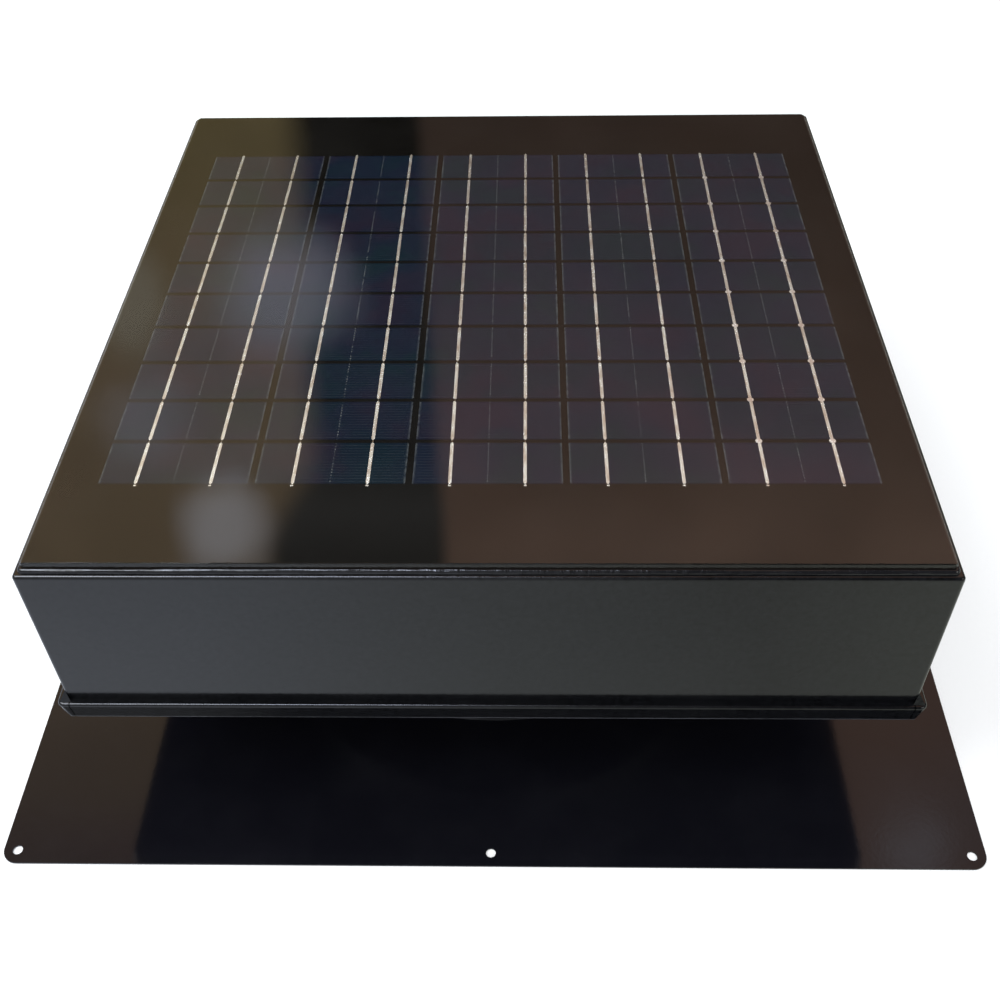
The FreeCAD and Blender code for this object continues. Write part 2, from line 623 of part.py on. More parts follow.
def make_cable_clips():
    """A clip on the throat's wall and one on the motor bracket's arm."""
    lead = NODES["motor_lead"][0]
    at = polar(BESIDE_WALL, CABLE_ANGLE, 0)[:2]
    wall_span = (66, 74)
    wall_clip = ring(CABLE_R + 1.4, CABLE_R + 0.1, *wall_span, at)
    pad = turned(block((THROAT_R + 1.4, BESIDE_WALL - 2.5), (-5.0, 5.0), wall_span), CABLE_ANGLE)
    pad = pad.cut(disc(CABLE_R + 0.6, wall_span[0] - 1, wall_span[1] + 1, at))
    arm_span = (100, 108)
    arm_clip = aim(ring(CABLE_R + 1.3, CABLE_R + 0.15, 0, 8), (arm_span[0], 0, 26.95), (1, 0, 0))
    strap = block(arm_span, (-9.0, -2.0), (Z_BRACKET, Z_BRACKET + 1.2))
    keep("cable_clips", wall_clip.fuse(pad).cut([lead, NODES["throat_collar"][0]]),
         turned(arm_clip.fuse(strap), ARM_START).cut([below_bracket_top(), lead]))


def below_bracket_top():
    """A cutter for whatever would sink into the bracket."""
    return block((-200, 200), (-200, 200), (10, Z_BRACKET))


def turned_about(shape, degrees, x, y):
    placed = shape.copy()
    placed.rotate(ORIGIN, UP, degrees)
    placed.translate(V(x, y, 0))
    return placed


# ---- motor bracket, mounts and thermal switch ---------------------------------------------------------
ISOLATOR_CIRCLE_R = 36.0
ISOLATOR_NECK_R = 5.5
SEAT_R = 54.0
SEAT_HOLE_R = 14.0
SWITCH_AT = 108.0                 # along the second arm
SWITCH_ANGLE = ARM_START + 90.0
SWITCH_BODY_R = 8.5
SWITCH_TOP = Z_BRACKET + 7.0
SWITCH_EARS = (-13.5, 13.5)       # its screws lie this far either side along the arm


def make_bracket():
    """A pressed cross: a round seat for the motor and four arms whose ends turn up against the throat."""
    half_w = ARM_W / 2
    tab_face = math.sqrt(THROAT_R ** 2 - half_w ** 2) - 0.05
    seat = disc(SEAT_R, BRACKET_Z, Z_BRACKET)
    arm = block((30, tab_face), (-half_w, half_w), (BRACKET_Z, Z_BRACKET))
    tab = block((tab_face - BRACKET_T, tab_face), (-half_w, half_w), (BRACKET_Z, Z_BRACKET + TAB_HEIGHT))
    rib = aim(disc(2.6, 0, 78), (78, 0, BRACKET_Z + 0.6), (1, 0, 0))
    rib = rib.common(block((60, 170), (-5, 5), (BRACKET_Z - 3, BRACKET_Z + 1)))
    bracket = seat.fuse([s for part in (arm, tab, rib) for s in around(part, ARM_COUNT, ARM_START)])
    cuts = around(across_wall(BOLT_R + BOLT_CLEARANCE, tab_face, BRACKET_BOLT_Z), ARM_COUNT, ARM_START)
    cuts += around(through_bracket(ISOLATOR_NECK_R, (ISOLATOR_CIRCLE_R, 0)), ARM_COUNT, ARM_START)
    cuts += [through_bracket(SWITCH_BODY_R + 0.2, polar_xy(SWITCH_AT, SWITCH_ANGLE))]
    cuts += [through_bracket(SEAT_HOLE_R, (0, 0))]
    cuts += [through_bracket(SMALL_SCREW_HOLE_R, polar_xy(SWITCH_AT + d, SWITCH_ANGLE)) for d in SWITCH_EARS]
    keep("motor_bracket", bracket.cut(cuts).removeSplitter())

    bolt = hex_bolt(BOLT_R, 12.0, BOLT_FLATS, BOLT_HEAD_T)
    bolt = aim(bolt, (THROAT_R + SHEET + 0.1, 0, BRACKET_BOLT_Z), (1, 0, 0))
    keep("bracket_bolts", *around(bolt, ARM_COUNT, ARM_START))
    nut = aim(bolt_nut(), (tab_face - BRACKET_T - BOLT_NUT_T, 0, BRACKET_BOLT_Z), (1, 0, 0))
    keep("bracket_nuts", *around(nut, ARM_COUNT, ARM_START))


def through_bracket(radius, at):
    return disc(radius, BRACKET_Z - 5, Z_BRACKET + 1, at)


def make_motor_mounts():
    """Rubber isolators that clip into the bracket's seat, and the flanged screws up through them."""
    bore, neck, flange = BOLT_R + TOUCH, ISOLATOR_NECK_R, 8.5
    foot = BRACKET_Z - ISOLATOR_FLANGE
    isolator = revolved([(bore, foot), (flange, foot), (flange, BRACKET_Z), (neck, BRACKET_Z),
                         (neck, Z_BRACKET), (flange, Z_BRACKET), (flange, Z_MOTOR), (bore, Z_MOTOR)])
    isolator.translate(V(ISOLATOR_CIRCLE_R, 0, 0))
    keep("motor_isolators", *around(isolator, ARM_COUNT, ARM_START))
    screw = hex_bolt(BOLT_R, 16.0, BOLT_FLATS, BOLT_HEAD_T, flange - 1)
    screw = aim(screw, (ISOLATOR_CIRCLE_R, 0, foot), (0, 0, -1))
    keep("motor_mount_screws", *around(screw, ARM_COUNT, ARM_START))


def make_thermal_switch():
    """A snap-disc thermostat set in the second arm, sensing from below, held by two screws."""
    body = disc(SWITCH_BODY_R, BRACKET_Z - 4, SWITCH_TOP, polar_xy(SWITCH_AT, SWITCH_ANGLE))
    plate = block((SWITCH_AT - 17, SWITCH_AT + 17), (-5, 5), (Z_BRACKET, Z_BRACKET + 1))
    holes = [disc(SMALL_SCREW_HOLE_R, Z_BRACKET - 1, Z_BRACKET + 2, (SWITCH_AT + d, 0)) for d in SWITCH_EARS]
    tab_w, tab_near, tab_far, tab_h = 6.0, 3.6, 4.4, 7.0
    tabs = [block((SWITCH_AT - tab_w / 2, SWITCH_AT + tab_w / 2), sorted((s * tab_near, s * tab_far)),
                  (SWITCH_TOP, SWITCH_TOP + tab_h)) for s in SIDES]
    parts = [turned(part, SWITCH_ANGLE) for part in [plate.cut(holes)] + tabs]
    keep("thermal_switch", body.fuse(parts).removeSplitter())
    screw = pan_screw(SMALL_SCREW_HOLE_R - TOUCH, 6.0, 2.8, 1.8)
    seats = [polar(SWITCH_AT + d, SWITCH_ANGLE, Z_BRACKET + 1) for d in SWITCH_EARS]
    keep("switch_screws", *[aim(screw, seat, UP) for seat in seats])


def make_switch_leads():
    """The sleeve where the switch's two leads join the motor's cable, and the leads themselves."""
    sleeve = turned(aim(disc(CABLE_R + 1.5, 0, 16), (72, 0, 28.4), (1, 0, 0)), ARM_START)
    lead = NODES["motor_lead"][0]
    sleeve = sleeve.cut([lead, below_bracket_top()])
    keep("splice_sleeve", sleeve)
    wire_r = 0.9
    x, y = polar_xy(SWITCH_AT, SWITCH_ANGLE)
    dx, dy = polar_xy(4.0, SWITCH_ANGLE + 90)
    wires = []
    for side in SIDES:
        start = (x + side * dx, y + side * dy, Z_BRACKET + 14.2)
        level = Z_BRACKET + 5 - side
        route = [start, (start[0], start[1], Z_BRACKET + 17), polar(92 - 3 * side, 130, Z_BRACKET + 12),
                 polar(66 - 2 * side, 110, Z_BRACKET + 7), polar(64 - 2 * side, 90, level),
                 polar(66 - 2 * side, 68, level), polar(74 - 2 * side, 52, level),
                 polar(79 - 2 * side, ARM_START + 3.2, Z_BRACKET + 4.4)]
        wires.append(tube(route, wire_r).cut([sleeve, lead]).Solids[0])
    keep("switch_leads", *wires)


# ---- motor ---------------------------------------------------------------------------------------------
SLOTS = 12
MAGNETS = 8
STATOR_BORE_R = 23.2
MAGNET_R = 22.5
ROTOR_R = 19.0
CAN_BORE_R = CAN_R - CAN_WALL
CAN_GROMMET_R = 3.6
EAR_TOP = Z_MOTOR_TOP - 2.0       # the long screws' heads sit here


def at_ears(radius, low, high):
    """Upright rounds at the four lugs outside the motor's can."""
    return [disc(radius, low, high, polar_xy(EAR_CIRCLE_R, k * 90)) for k in range(4)]


def make_motor_case():
    """The can between its two cast caps, which hold the bearings, and the four long screws."""
    through_r, shaft_hole_r, oil_gap = 2.0, 6.0, 1.2
    base = disc(CAN_R, Z_MOTOR, Z_CAN).fuse(at_ears(EAR_R, Z_MOTOR, Z_CAN))
    mount_hole = disc(BOLT_R, Z_MOTOR - 1, Z_CAN - 1.5, (ISOLATOR_CIRCLE_R, 0))
    base = base.cut(around(mount_hole, ARM_COUNT, ARM_START) + at_ears(through_r, Z_MOTOR + 2, Z_CAN + 1) +
                    [disc(BEARING_R, LOWER_BEARING_Z, Z_CAN + 1),
                     disc(shaft_hole_r, LOWER_BEARING_Z - oil_gap, Z_CAN)])
    keep("motor_base_cap", base)

    can = ring(CAN_R, CAN_BORE_R, Z_CAN, Z_CAN_TOP)
    keep("motor_can", can.cut(turned(across_wall(CAN_GROMMET_R, CAN_R, MOTOR_CABLE_Z, 5.0), ARM_START)))
    NODES["cable_grommets"].append(can_grommet().cut([NODES["motor_lead"][0], NODES["motor_can"][0], base]))

    top = disc(CAN_R, Z_CAN_TOP, Z_MOTOR_TOP).fuse(at_ears(EAR_R, Z_CAN_TOP, EAR_TOP))
    top = top.makeFillet(1.5, edges_at(top, Z_MOTOR_TOP))
    vent = block((16, 36), (-2.0, 2.0), (Z_CAN_TOP - 1, Z_MOTOR_TOP + 1))
    top = top.cut(at_ears(through_r + 0.1, Z_CAN_TOP - 1, Z_MOTOR_TOP + 1) + around(vent, 8, 22.5) +
                  [disc(BEARING_R, Z_CAN_TOP - 1, Z_CAN_TOP + BEARING_T),
                   disc(shaft_hole_r, Z_CAN_TOP, Z_MOTOR_TOP + 1)])
    keep("motor_top_cap", top)
    bolt = pan_screw(through_r - TOUCH, EAR_TOP - Z_MOTOR - 3, 3.6, 2.4)
    keep("motor_through_bolts", *around(aim(bolt, (EAR_CIRCLE_R, 0, EAR_TOP), UP), 4))


def can_grommet():
    """The rubber grommet in the can, before the cable and the can are cut out of it."""
    inside, flange_r, flange_t = 1.0, 5.2, 2.9
    neck = disc(CAN_GROMMET_R, inside, CAN_WALL + 0.4)
    flange = disc(flange_r, CAN_WALL + 0.3, CAN_WALL + 0.3 + flange_t)
    return turned(aim(neck.fuse(flange), (CAN_BORE_R, 0, MOTOR_CABLE_Z), (1, 0, 0)), ARM_START)


def make_stator():
    low, high = STACK_Z, STACK_Z + STACK_LENGTH
    yoke = ring(CAN_BORE_R, 37.0, low, high)
    tooth = block((24.5, 38), (-3.0, 3.0), (low, high))
    shoe = ring(26.0, STATOR_BORE_R, low, high).common(block((15, 30), (-5.2, 5.2), (low, high)))
    core = yoke.fuse(around(tooth, SLOTS) + around(shoe, SLOTS)).removeSplitter()
    keep("stator_core", core.cut(disc(STATOR_BORE_R, low - 1, high + 1)))
    overhang = 3.2
    coil = block((26.6, 36.4), (-6.3, 6.3), (low - overhang, high + overhang))
    coil = coil.makeFillet(1.6, [e for e in coil.Edges if e.BoundBox.XLength > 5])
    window = block((20, 40), (-3.02, 3.02), (low - 0.02, high + 0.02))
    keep("stator_windings", *around(coil.cut(window), SLOTS))
    board = ring(42.4, 12.5, Z_CAN + 2.0, Z_CAN + 3.6)
    switch = block((24, 30), (-3.0, 3.0), (Z_CAN + 0.2, Z_CAN + 2.0))
    sensor = block((18.5, 22), (-1.5, 1.5), (Z_CAN + 3.6, Z_CAN + 5.2))
    keep("driver_board", board, *(around(switch, 6) + around(sensor, 3, 15)))


def bearing_parts(low):
    """A deep-groove ball bearing: outer race, inner race, shields, and the balls in their cage."""
    mid, pitch_r, ball_r, groove_r, balls = low + BEARING_T / 2, 7.5, 1.98, 2.04, 7
    groove = Part.makeTorus(pitch_r, groove_r, V(0, 0, mid), UP)
    outer = ring(BEARING_R, 9.1, low, low + BEARING_T).cut(groove)
    inner = ring(INNER_RACE_R, SHAFT_R, low, low + BEARING_T).cut(groove)
    shields = [ring(9.1, 6.2, low + 0.3, low + 0.6), ring(9.1, 6.2, low + 6.4, low + 6.7)]
    ball = Part.makeSphere(ball_r, V(pitch_r, 0, mid))
    pockets = around(aim(disc(groove_r, 0, 6), (pitch_r - 3, 0, mid), (1, 0, 0)), balls)
    cage = ring(8.3, 6.7, mid - 2.6, mid + 2.6).cut(pockets)
    return outer, inner, shields, around(ball, balls) + [cage]


def make_bearings():
    lower, upper = bearing_parts(LOWER_BEARING_Z), bearing_parts(UPPER_BEARING_Z)
    keep("bearing_outer_races", lower[0], upper[0], *(lower[2] + upper[2]))
    keep("bearing_inner_races", lower[1], upper[1])
    keep("lower_ball_set", *lower[3])
    keep("upper_ball_set", *upper[3])


# ---- rotor and fan -----------------------------------------------------------------------------------------
SHAFT_TOP = Z_FAN + 17.0
HUB_R = 14.0
HUB_FLANGE_R = 24.0
HUB_FLANGE_T = 3.0
HUB_RIVET_CIRCLE_R = 19.0
HUB_LOW = Z_FAN - 9.0
HUB_HIGH = Z_FAN + 11.0


def make_rotor():
    shaft = disc(SHAFT_R, LOWER_BEARING_Z - 0.8, SHAFT_TOP)
    shaft = shaft.makeChamfer(0.6, edges_at(shaft, SHAFT_TOP))
    keep("motor_shaft", shaft)
    core = ring(ROTOR_R, SHAFT_R, STACK_Z, STACK_Z + STACK_LENGTH)
    keep("rotor_core", core.cut(around(disc(3.0, 0, 100, (11.5, 0)), 6)))
    magnet = ring(MAGNET_R, ROTOR_R, STACK_Z, STACK_Z + STACK_LENGTH)
    gap = math.radians(2.0)
    half = math.pi / MAGNETS - gap
    reach = 40.0
    wedge = Part.Face(Part.makePolygon([V(0, 0, 0), V(reach * math.cos(half), -reach * math.sin(half), 0),
                                        V(reach * math.cos(half), reach * math.sin(half), 0), V(0, 0, 0)]))
    wedge = wedge.extrude(UP * 100)
    keep("rotor_magnets", *around(magnet.common(wedge), MAGNETS))
    keep("rotor_spacers", ring(INNER_RACE_R, SHAFT_R, Z_CAN, STACK_Z),
         ring(INNER_RACE_R, SHAFT_R, STACK_Z + STACK_LENGTH, UPPER_BEARING_Z))
    low, rim, top, brim_r, neck_r = Z_MOTOR_TOP + 0.5, 0.8, 2.2, 9.5, 6.5
    keep("shaft_slinger", revolved([(SHAFT_R, low), (brim_r, low), (brim_r, low + rim), (neck_r, low + top),
                                    (SHAFT_R, low + top)]))


def arc_strip(x, radius, thickness, half_width):
    """Part of a skin about the blade's camber axis, running out along +X."""
    start = V(x[0], 0, -CAMBER_R)
    length = x[1] - x[0]
    skin = Part.makeCylinder(radius + thickness, length, start, V(1, 0, 0)).cut(
        Part.makeCylinder(radius, length, start, V(1, 0, 0)))
    return skin.common(block((x[0] - 1, x[1] + 1), (-half_width, half_width), (-CAMBER_R / 2, CAMBER_R)))


def blade_outline():
    """The blade's plan: a narrow root, a swept leading edge and a rounded tip."""
    leading = [(56, 20), (80, 32), (110, 40), (136, 42.5), (149, 39)]
    trailing = [(149, -31), (136, -36), (110, -34.5), (80, -28), (56, -19)]
    edges = []
    for points in (leading, trailing):
        curve = Part.BSplineCurve()
        curve.interpolate([V(px, py, -60) for px, py in points])
        edges.append(curve.toShape())
    tip = Part.Arc(V(149, 39, -60), V(155.5, 4, -60), V(149, -31, -60)).toShape()
    root = Part.makeLine(V(56, -19, -60), V(56, 20, -60))
    outline = Part.Face(Part.Wire([edges[0], tip, edges[1], root])).extrude(UP * 120)
    corners = [e for e in outline.Edges if upright(e) and e.Vertexes[0].Point.x > 145]
    return outline.makeFillet(11.0, corners)


def pitched(shape):
    placed = shape.copy()
    placed.rotate(ORIGIN, V(1, 0, 0), BLADE_PITCH)
    placed.translate(V(0, 0, Z_FAN))
    return placed


def make_fan():
    blade = arc_strip((54, 157), CAMBER_R, BLADE_T, 52).common(blade_outline())
    arm = arc_strip((20, 97), CAMBER_R - SPIDER_T, SPIDER_T, 15)
    arm = arm.makeFillet(8.0, [e for e in arm.Edges if e.BoundBox.XMin > 96 and e.BoundBox.XLength < 1e-6
                               and e.BoundBox.YLength < 0.5])
    rivet_places = [(64, 0), (77, 7.5), (77, -7.5), (90, 0)]
    stem_r = 2.0
    stems = [disc(stem_r, -12, 12, at) for at in rivet_places]
    heads = [disc(3.6, -20, 20, at) for at in rivet_places]
    swept = arc_strip((50, 110), CAMBER_R - SPIDER_T - 1.3, BLADE_T + SPIDER_T + 2.6, 30)
    lower_skin = arc_strip((50, 110), CAMBER_R - SPIDER_T, SPIDER_T, 40)
    upper_skin = arc_strip((50, 110), CAMBER_R, BLADE_T, 52)
    rivets = []
    for stem, head in zip(stems, heads):
        drilled = lower_skin.fuse(upper_skin).cut(stem)
        rivets.append(pitched(swept.common(head).cut(drilled)))
    blade, arm = pitched(blade.cut(stems)), pitched(arm.cut(stems))

    disc_low = Z_FAN - 1.0
    plate = disc(38.0, disc_low, disc_low + SPIDER_T)
    bore = [disc(HUB_R + TOUCH, 0, 200)]
    hub_rivet_places = around(disc(2.0, disc_low - 20, disc_low + 20, (HUB_RIVET_CIRCLE_R, 0)), 4, 45)
    spider = plate.fuse(around(arm.cut(disc(26.0, 0, 200)), BLADE_COUNT)).cut(bore + hub_rivet_places)
    keep("blade_spider", spider.removeSplitter())
    keep("fan_blades", *around(blade, BLADE_COUNT))

    hub = disc(HUB_R, HUB_LOW, HUB_HIGH).fuse(disc(HUB_FLANGE_R, disc_low - HUB_FLANGE_T, disc_low))
    hub = hub.makeFillet(1.2, edges_at(hub, HUB_HIGH))
    set_z = HUB_LOW + 3.4
    set_bore = aim(disc(BOLT_R, 0, 20), (0, 0, set_z), (1, 0, 0))
    hub = hub.cut([disc(SHAFT_R, 0, 200), set_bore] + hub_rivet_places)
    keep("fan_hub", hub)
    set_screw = disc(BOLT_R - TOUCH, 0, 9.5).cut(hexagon(2.5, 6.5, 10))
    keep("hub_set_screw", aim(set_screw, (SHAFT_R + 0.3, 0, set_z), (1, 0, 0)))
    keep("fan_rivets", *([turned(r, k * 360 / BLADE_COUNT) for k in range(BLADE_COUNT) for r in rivets] +
                         around(hub_rivet(disc_low), 4, 45)))
    keep("shaft_nut", hexagon(13.0, HUB_HIGH, HUB_HIGH + 5.0).cut(disc(SHAFT_R, 0, 200)))


def hub_rivet(plate_low):
    """A rivet through the hub's flange and the spider's plate, with a head on each side."""
    stem_r, head_r, head_t, at = 2.0 - TOUCH, 3.5, 1.6, (HUB_RIVET_CIRCLE_R, 0)
    bottom, top = plate_low - HUB_FLANGE_T, plate_low + SPIDER_T
    heads = [disc(head_r, bottom - head_t, bottom, at), disc(head_r, top, top + head_t, at)]
    return disc(stem_r, bottom, top, at).fuse(heads)


# ---- build and write --------------------------------------------------------------------------------------
def build():
    keep("flashing_plate", make_flashing())
    keep("throat_collar", make_collar())
    keep("collar_seal", make_collar_seal())
    keep("hood_shell", make_hood())
    keep("hood_supports", *make_supports())
    make_hood_fasteners()
    keep("outlet_screen", make_screen())
    make_screen_band()
    make_panel()
    make_panel_fixing()
    make_junction_box()
    make_panel_lead()
    make_motor_lead()
    make_connectors()
    keep("cable_grommets", wall_grommet())
    make_cable_clips()
    make_bracket()
    make_motor_mounts()
    make_thermal_switch()
    make_switch_leads()
    make_motor_case()
    make_stator()
    make_bearings()
    make_rotor()
    make_fan()


def write():
    os.makedirs("parts", exist_ok=True)
    for name, solids in NODES.items():
        found = [s for shape in solids for s in shape.Solids]
        shape = found[0] if len(found) == 1 else Part.makeCompound(found)
        shape.exportStep(f"parts/{name}.step")


build()
write()
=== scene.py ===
"""Looks of the solar attic fan: its materials, and the pieces that need a finer mesh than CAD gives.

Everything is in metres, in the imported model's frame: +Z up, the flashing's underside on z = 0.
"""
import math

import bmesh
import bpy
from mathutils import Matrix, Vector


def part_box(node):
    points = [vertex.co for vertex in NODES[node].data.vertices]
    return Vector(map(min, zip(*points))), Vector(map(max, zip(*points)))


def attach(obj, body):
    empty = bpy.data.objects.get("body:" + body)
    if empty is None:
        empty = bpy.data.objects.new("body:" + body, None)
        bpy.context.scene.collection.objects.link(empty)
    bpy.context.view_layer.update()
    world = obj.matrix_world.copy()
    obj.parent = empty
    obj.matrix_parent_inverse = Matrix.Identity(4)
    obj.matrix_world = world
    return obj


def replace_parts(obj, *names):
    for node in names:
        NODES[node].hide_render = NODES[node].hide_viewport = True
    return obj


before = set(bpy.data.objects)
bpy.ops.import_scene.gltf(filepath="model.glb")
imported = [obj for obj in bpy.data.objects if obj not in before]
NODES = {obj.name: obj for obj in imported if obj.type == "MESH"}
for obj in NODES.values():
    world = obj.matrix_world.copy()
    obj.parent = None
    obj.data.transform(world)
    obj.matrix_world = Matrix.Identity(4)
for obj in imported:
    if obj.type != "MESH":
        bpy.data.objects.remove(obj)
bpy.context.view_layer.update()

MM = 0.001


# ---- node helpers ----------------------------------------------------------------------------
class Graph:
    """A material's or world's node tree, with one short call for each kind of node used here."""

    def __init__(self, owner):
        owner.use_nodes = True
        self.owner = owner
        self.tree = owner.node_tree
        self.tree.nodes.clear()

    def node(self, kind, **settings):
        made = self.tree.nodes.new(kind)
        for key, value in settings.items():
            setattr(made, key, value)
        return made

    def feed(self, socket, value):
        """Links a socket or sets its value."""
        if isinstance(value, bpy.types.NodeSocket):
            self.tree.links.new(value, socket)
        elif isinstance(value, (tuple, list)) and len(value) == 3 and len(socket.default_value) == 4:
            socket.default_value = (*value, 1.0)
        else:
            socket.default_value = value

    def fill(self, node, **inputs):
        for name, value in inputs.items():
            self.feed(node.inputs[name.replace("_", " ")], value)
        return node

    def place(self):
        """The point being shaded, in metres, fixed to the piece."""
        return self.node("ShaderNodeTexCoord").outputs["Object"]

    def split(self, vector):
        return self.fill(self.node("ShaderNodeSeparateXYZ"), Vector=vector).outputs

    def join(self, x=0.0, y=0.0, z=0.0):
        return self.fill(self.node("ShaderNodeCombineXYZ"), X=x, Y=y, Z=z).outputs[0]

    def math(self, operation, a, b=0.0, clamp=False):
        node = self.node("ShaderNodeMath", operation=operation, use_clamp=clamp)
        for socket, value in zip(node.inputs, (a, b)):
            self.feed(socket, value)
        return node.outputs[0]

    def times(self, a, b, **settings):
        return self.math("MULTIPLY", a, b, **settings)

    def plus(self, a, b, **settings):
        return self.math("ADD", a, b, **settings)

    def minus(self, a, b):
        return self.math("SUBTRACT", a, b)

    def over(self, a, b):
        return self.math("DIVIDE", a, b)

    def length(self, x, y):
        """The length of the plane vector (x, y)."""
        return self.math("SQRT", self.plus(self.times(x, x), self.times(y, y)))

    def scaled(self, vector, factors):
        node = self.node("ShaderNodeVectorMath", operation="MULTIPLY")
        self.feed(node.inputs[0], vector)
        self.feed(node.inputs[1], factors)
        return node.outputs[0]

    def noise(self, vector, scale, detail=2.0, roughness=0.5):
        node = self.fill(self.node("ShaderNodeTexNoise"), Vector=vector, Scale=scale, Detail=detail,
                         Roughness=roughness)
        return node.outputs["Fac"]

    def cells(self, vector, scale, feature="F1", output="Color", randomness=1.0):
        node = self.node("ShaderNodeTexVoronoi", feature=feature)
        self.fill(node, Vector=vector, Scale=scale, Randomness=randomness)
        return node.outputs[output]

    def ramp(self, value, *stops):
        """Maps a value through (position, colour or grey) stops."""
        node = self.node("ShaderNodeValToRGB")
        elements = node.color_ramp.elements
        while len(elements) < len(stops):
            elements.new(0.5)
        for element, (position, colour) in zip(elements, stops):
            element.position = position
            element.color = (*colour, 1.0) if isinstance(colour, tuple) else (colour, colour, colour, 1.0)
        self.feed(node.inputs[0], value)
        return node.outputs[0]

    def rescale(self, value, from_low, from_high, to_low=0.0, to_high=1.0, smooth=False):
        node = self.node("ShaderNodeMapRange", interpolation_type="SMOOTHSTEP" if smooth else "LINEAR")
        names = ("Value", "From Min", "From Max", "To Min", "To Max")
        for name, v in zip(names, (value, from_low, from_high, to_low, to_high)):
            self.feed(node.inputs[name], v)
        return node.outputs[0]

    def mix(self, share, a, b, blend="MIX"):
        node = self.node("ShaderNodeMix", data_type="RGBA", blend_type=blend)
        for socket, value in ((node.inputs[0], share), (node.inputs[6], a), (node.inputs[7], b)):
            self.feed(socket, value)
        return node.outputs[2]

    def bump(self, height, distance, normal=None):
        """Turns a height of 0 to 1 into a normal; distance is the height's range in metres."""
        node = self.fill(self.node("ShaderNodeBump"), Height=height, Distance=distance, Strength=1.0)
        if normal is not None:
            self.feed(node.inputs["Normal"], normal)
        return node.outputs[0]

    def principled(self, **inputs):
        """Finishes the tree as a surface. Underscores in names stand for spaces."""
        shader = self.fill(self.node("ShaderNodeBsdfPrincipled"), **inputs)
        return self.surface(shader.outputs[0])

    def blend(self, share, a, b):
        """Mixes two shaders; share is the second one's part."""
        node = self.node("ShaderNodeMixShader")
        for socket, value in zip(node.inputs, (share, a, b)):
            self.feed(socket, value)
        return node.outputs[0]

    def surface(self, shader):
        output = self.node("ShaderNodeOutputMaterial")
        self.feed(output.inputs["Surface"], shader)
        return self.owner


def graph(name):
    return Graph(bpy.data.materials.new(name))


# ---- materials -------------------------------------------------------------------------------
LIP_FACE = 11.6 * MM      # height of the dull face of the hood's lip, from its cut edge


def powder_coat(name, colour, roughness, peel, wave=0.0, dust=0.25, cut_edge=None, uneven=(0.45, 1.6)):
    """Black powder coat: orange peel, faint smudges, a little dust, and slow waves in the sheet.

    cut_edge is the level of a lip's cut lower edge. The paler strip along it is partly metal showing through
    the thin coat and partly a painted highlight on the edge.
    The lip above it, up to its fold, shines less than the rest.
    uneven holds the colour's lowest and highest factors over the coat's blotches.
    """
    g = graph(name)
    place = g.place()
    smudge = g.noise(place, 16.0, 5.0, 0.6)
    speck = g.ramp(g.noise(place, 1500.0, 2.0), (0.66, 0.0), (0.80, 1.0))
    film = g.times(g.rescale(smudge, 0.45, 0.75, 0.0, 1.0), dust, clamp=True)
    grey = tuple(c * 2.2 + 0.02 for c in colour)
    blotch = g.rescale(g.noise(place, 330.0, 3.0, 0.6), 0.3, 0.7)
    tint = g.mix(blotch, *(tuple(c * factor for c in colour) for factor in uneven))
    tint = g.mix(g.times(film, 0.35), tint, grey)
    tint = g.mix(g.times(speck, dust * 0.5), tint, (0.10, 0.095, 0.09))
    shine = 0.5
    if cut_edge is not None:
        _, _, z = g.split(place)
        above = g.minus(z, cut_edge)
        # painted highlight along the cut edge, partly the metal showing through the thin coat there
        worn = g.times(g.rescale(above, 0.9 * MM, 0.6 * MM), g.rescale(smudge, 0.20, 0.55))
        tint = g.mix(worn, tint, (0.062, 0.064, 0.072))
        shine = g.rescale(above, LIP_FACE - 0.8 * MM, LIP_FACE, 0.14, shine)
    rough = g.plus(g.rescale(smudge, 0.3, 0.75, roughness * 0.85, roughness * 1.25), g.times(film, 0.06))
    normal = g.bump(g.noise(place, 420.0, 2.0, 0.45), peel)
    if wave:
        normal = g.bump(g.noise(place, 4.0, 1.0), wave, normal=normal)
    return g.principled(Base_Color=tint, Roughness=rough, Normal=normal, IOR=1.5, Specular_IOR_Level=shine)


def metal(name, colour, roughness, grain=(60.0, 60.0, 60.0), depth=0.01 * MM, scratch=0.0):
    """Plain metal with a directional or mottled grain and uneven shine."""
    g = graph(name)
    place = g.place()
    grained = g.noise(g.scaled(place, grain), 12.0, 4.0, 0.6)
    mottle = g.noise(place, 55.0, 3.0)
    tint = g.mix(g.rescale(mottle, 0.3, 0.7, 0.0, 1.0), tuple(c * 0.88 for c in colour), colour)
    if scratch:
        lines = g.ramp(g.noise(g.scaled(place, (900.0, 40.0, 900.0)), 1.0, 1.0), (0.62, 0.0), (0.66, 1.0))
        tint = g.mix(g.times(lines, scratch), tint, tuple(min(1.0, c * 1.35) for c in colour))
    rough = g.rescale(g.plus(grained, mottle), 0.6, 1.4, roughness * 0.75, roughness * 1.3)
    return g.principled(Base_Color=tint, Metallic=1.0, Roughness=rough, Normal=g.bump(grained, depth))


def turned_metal(name, colour, roughness):
    """Metal turned on a lathe: fine rings about the Z axis."""
    g = graph(name)
    x, y, _ = g.split(g.place())
    rings = g.noise(g.join(g.over(g.length(x, y), 0.3 * MM)), 1.0, 3.0, 0.7)
    tint = g.mix(rings, tuple(c * 0.85 for c in colour), colour)
    rough = g.rescale(rings, 0.2, 0.8, roughness * 0.7, roughness * 1.3)
    return g.principled(Base_Color=tint, Metallic=1.0, Roughness=rough, Normal=g.bump(rings, 0.006 * MM))


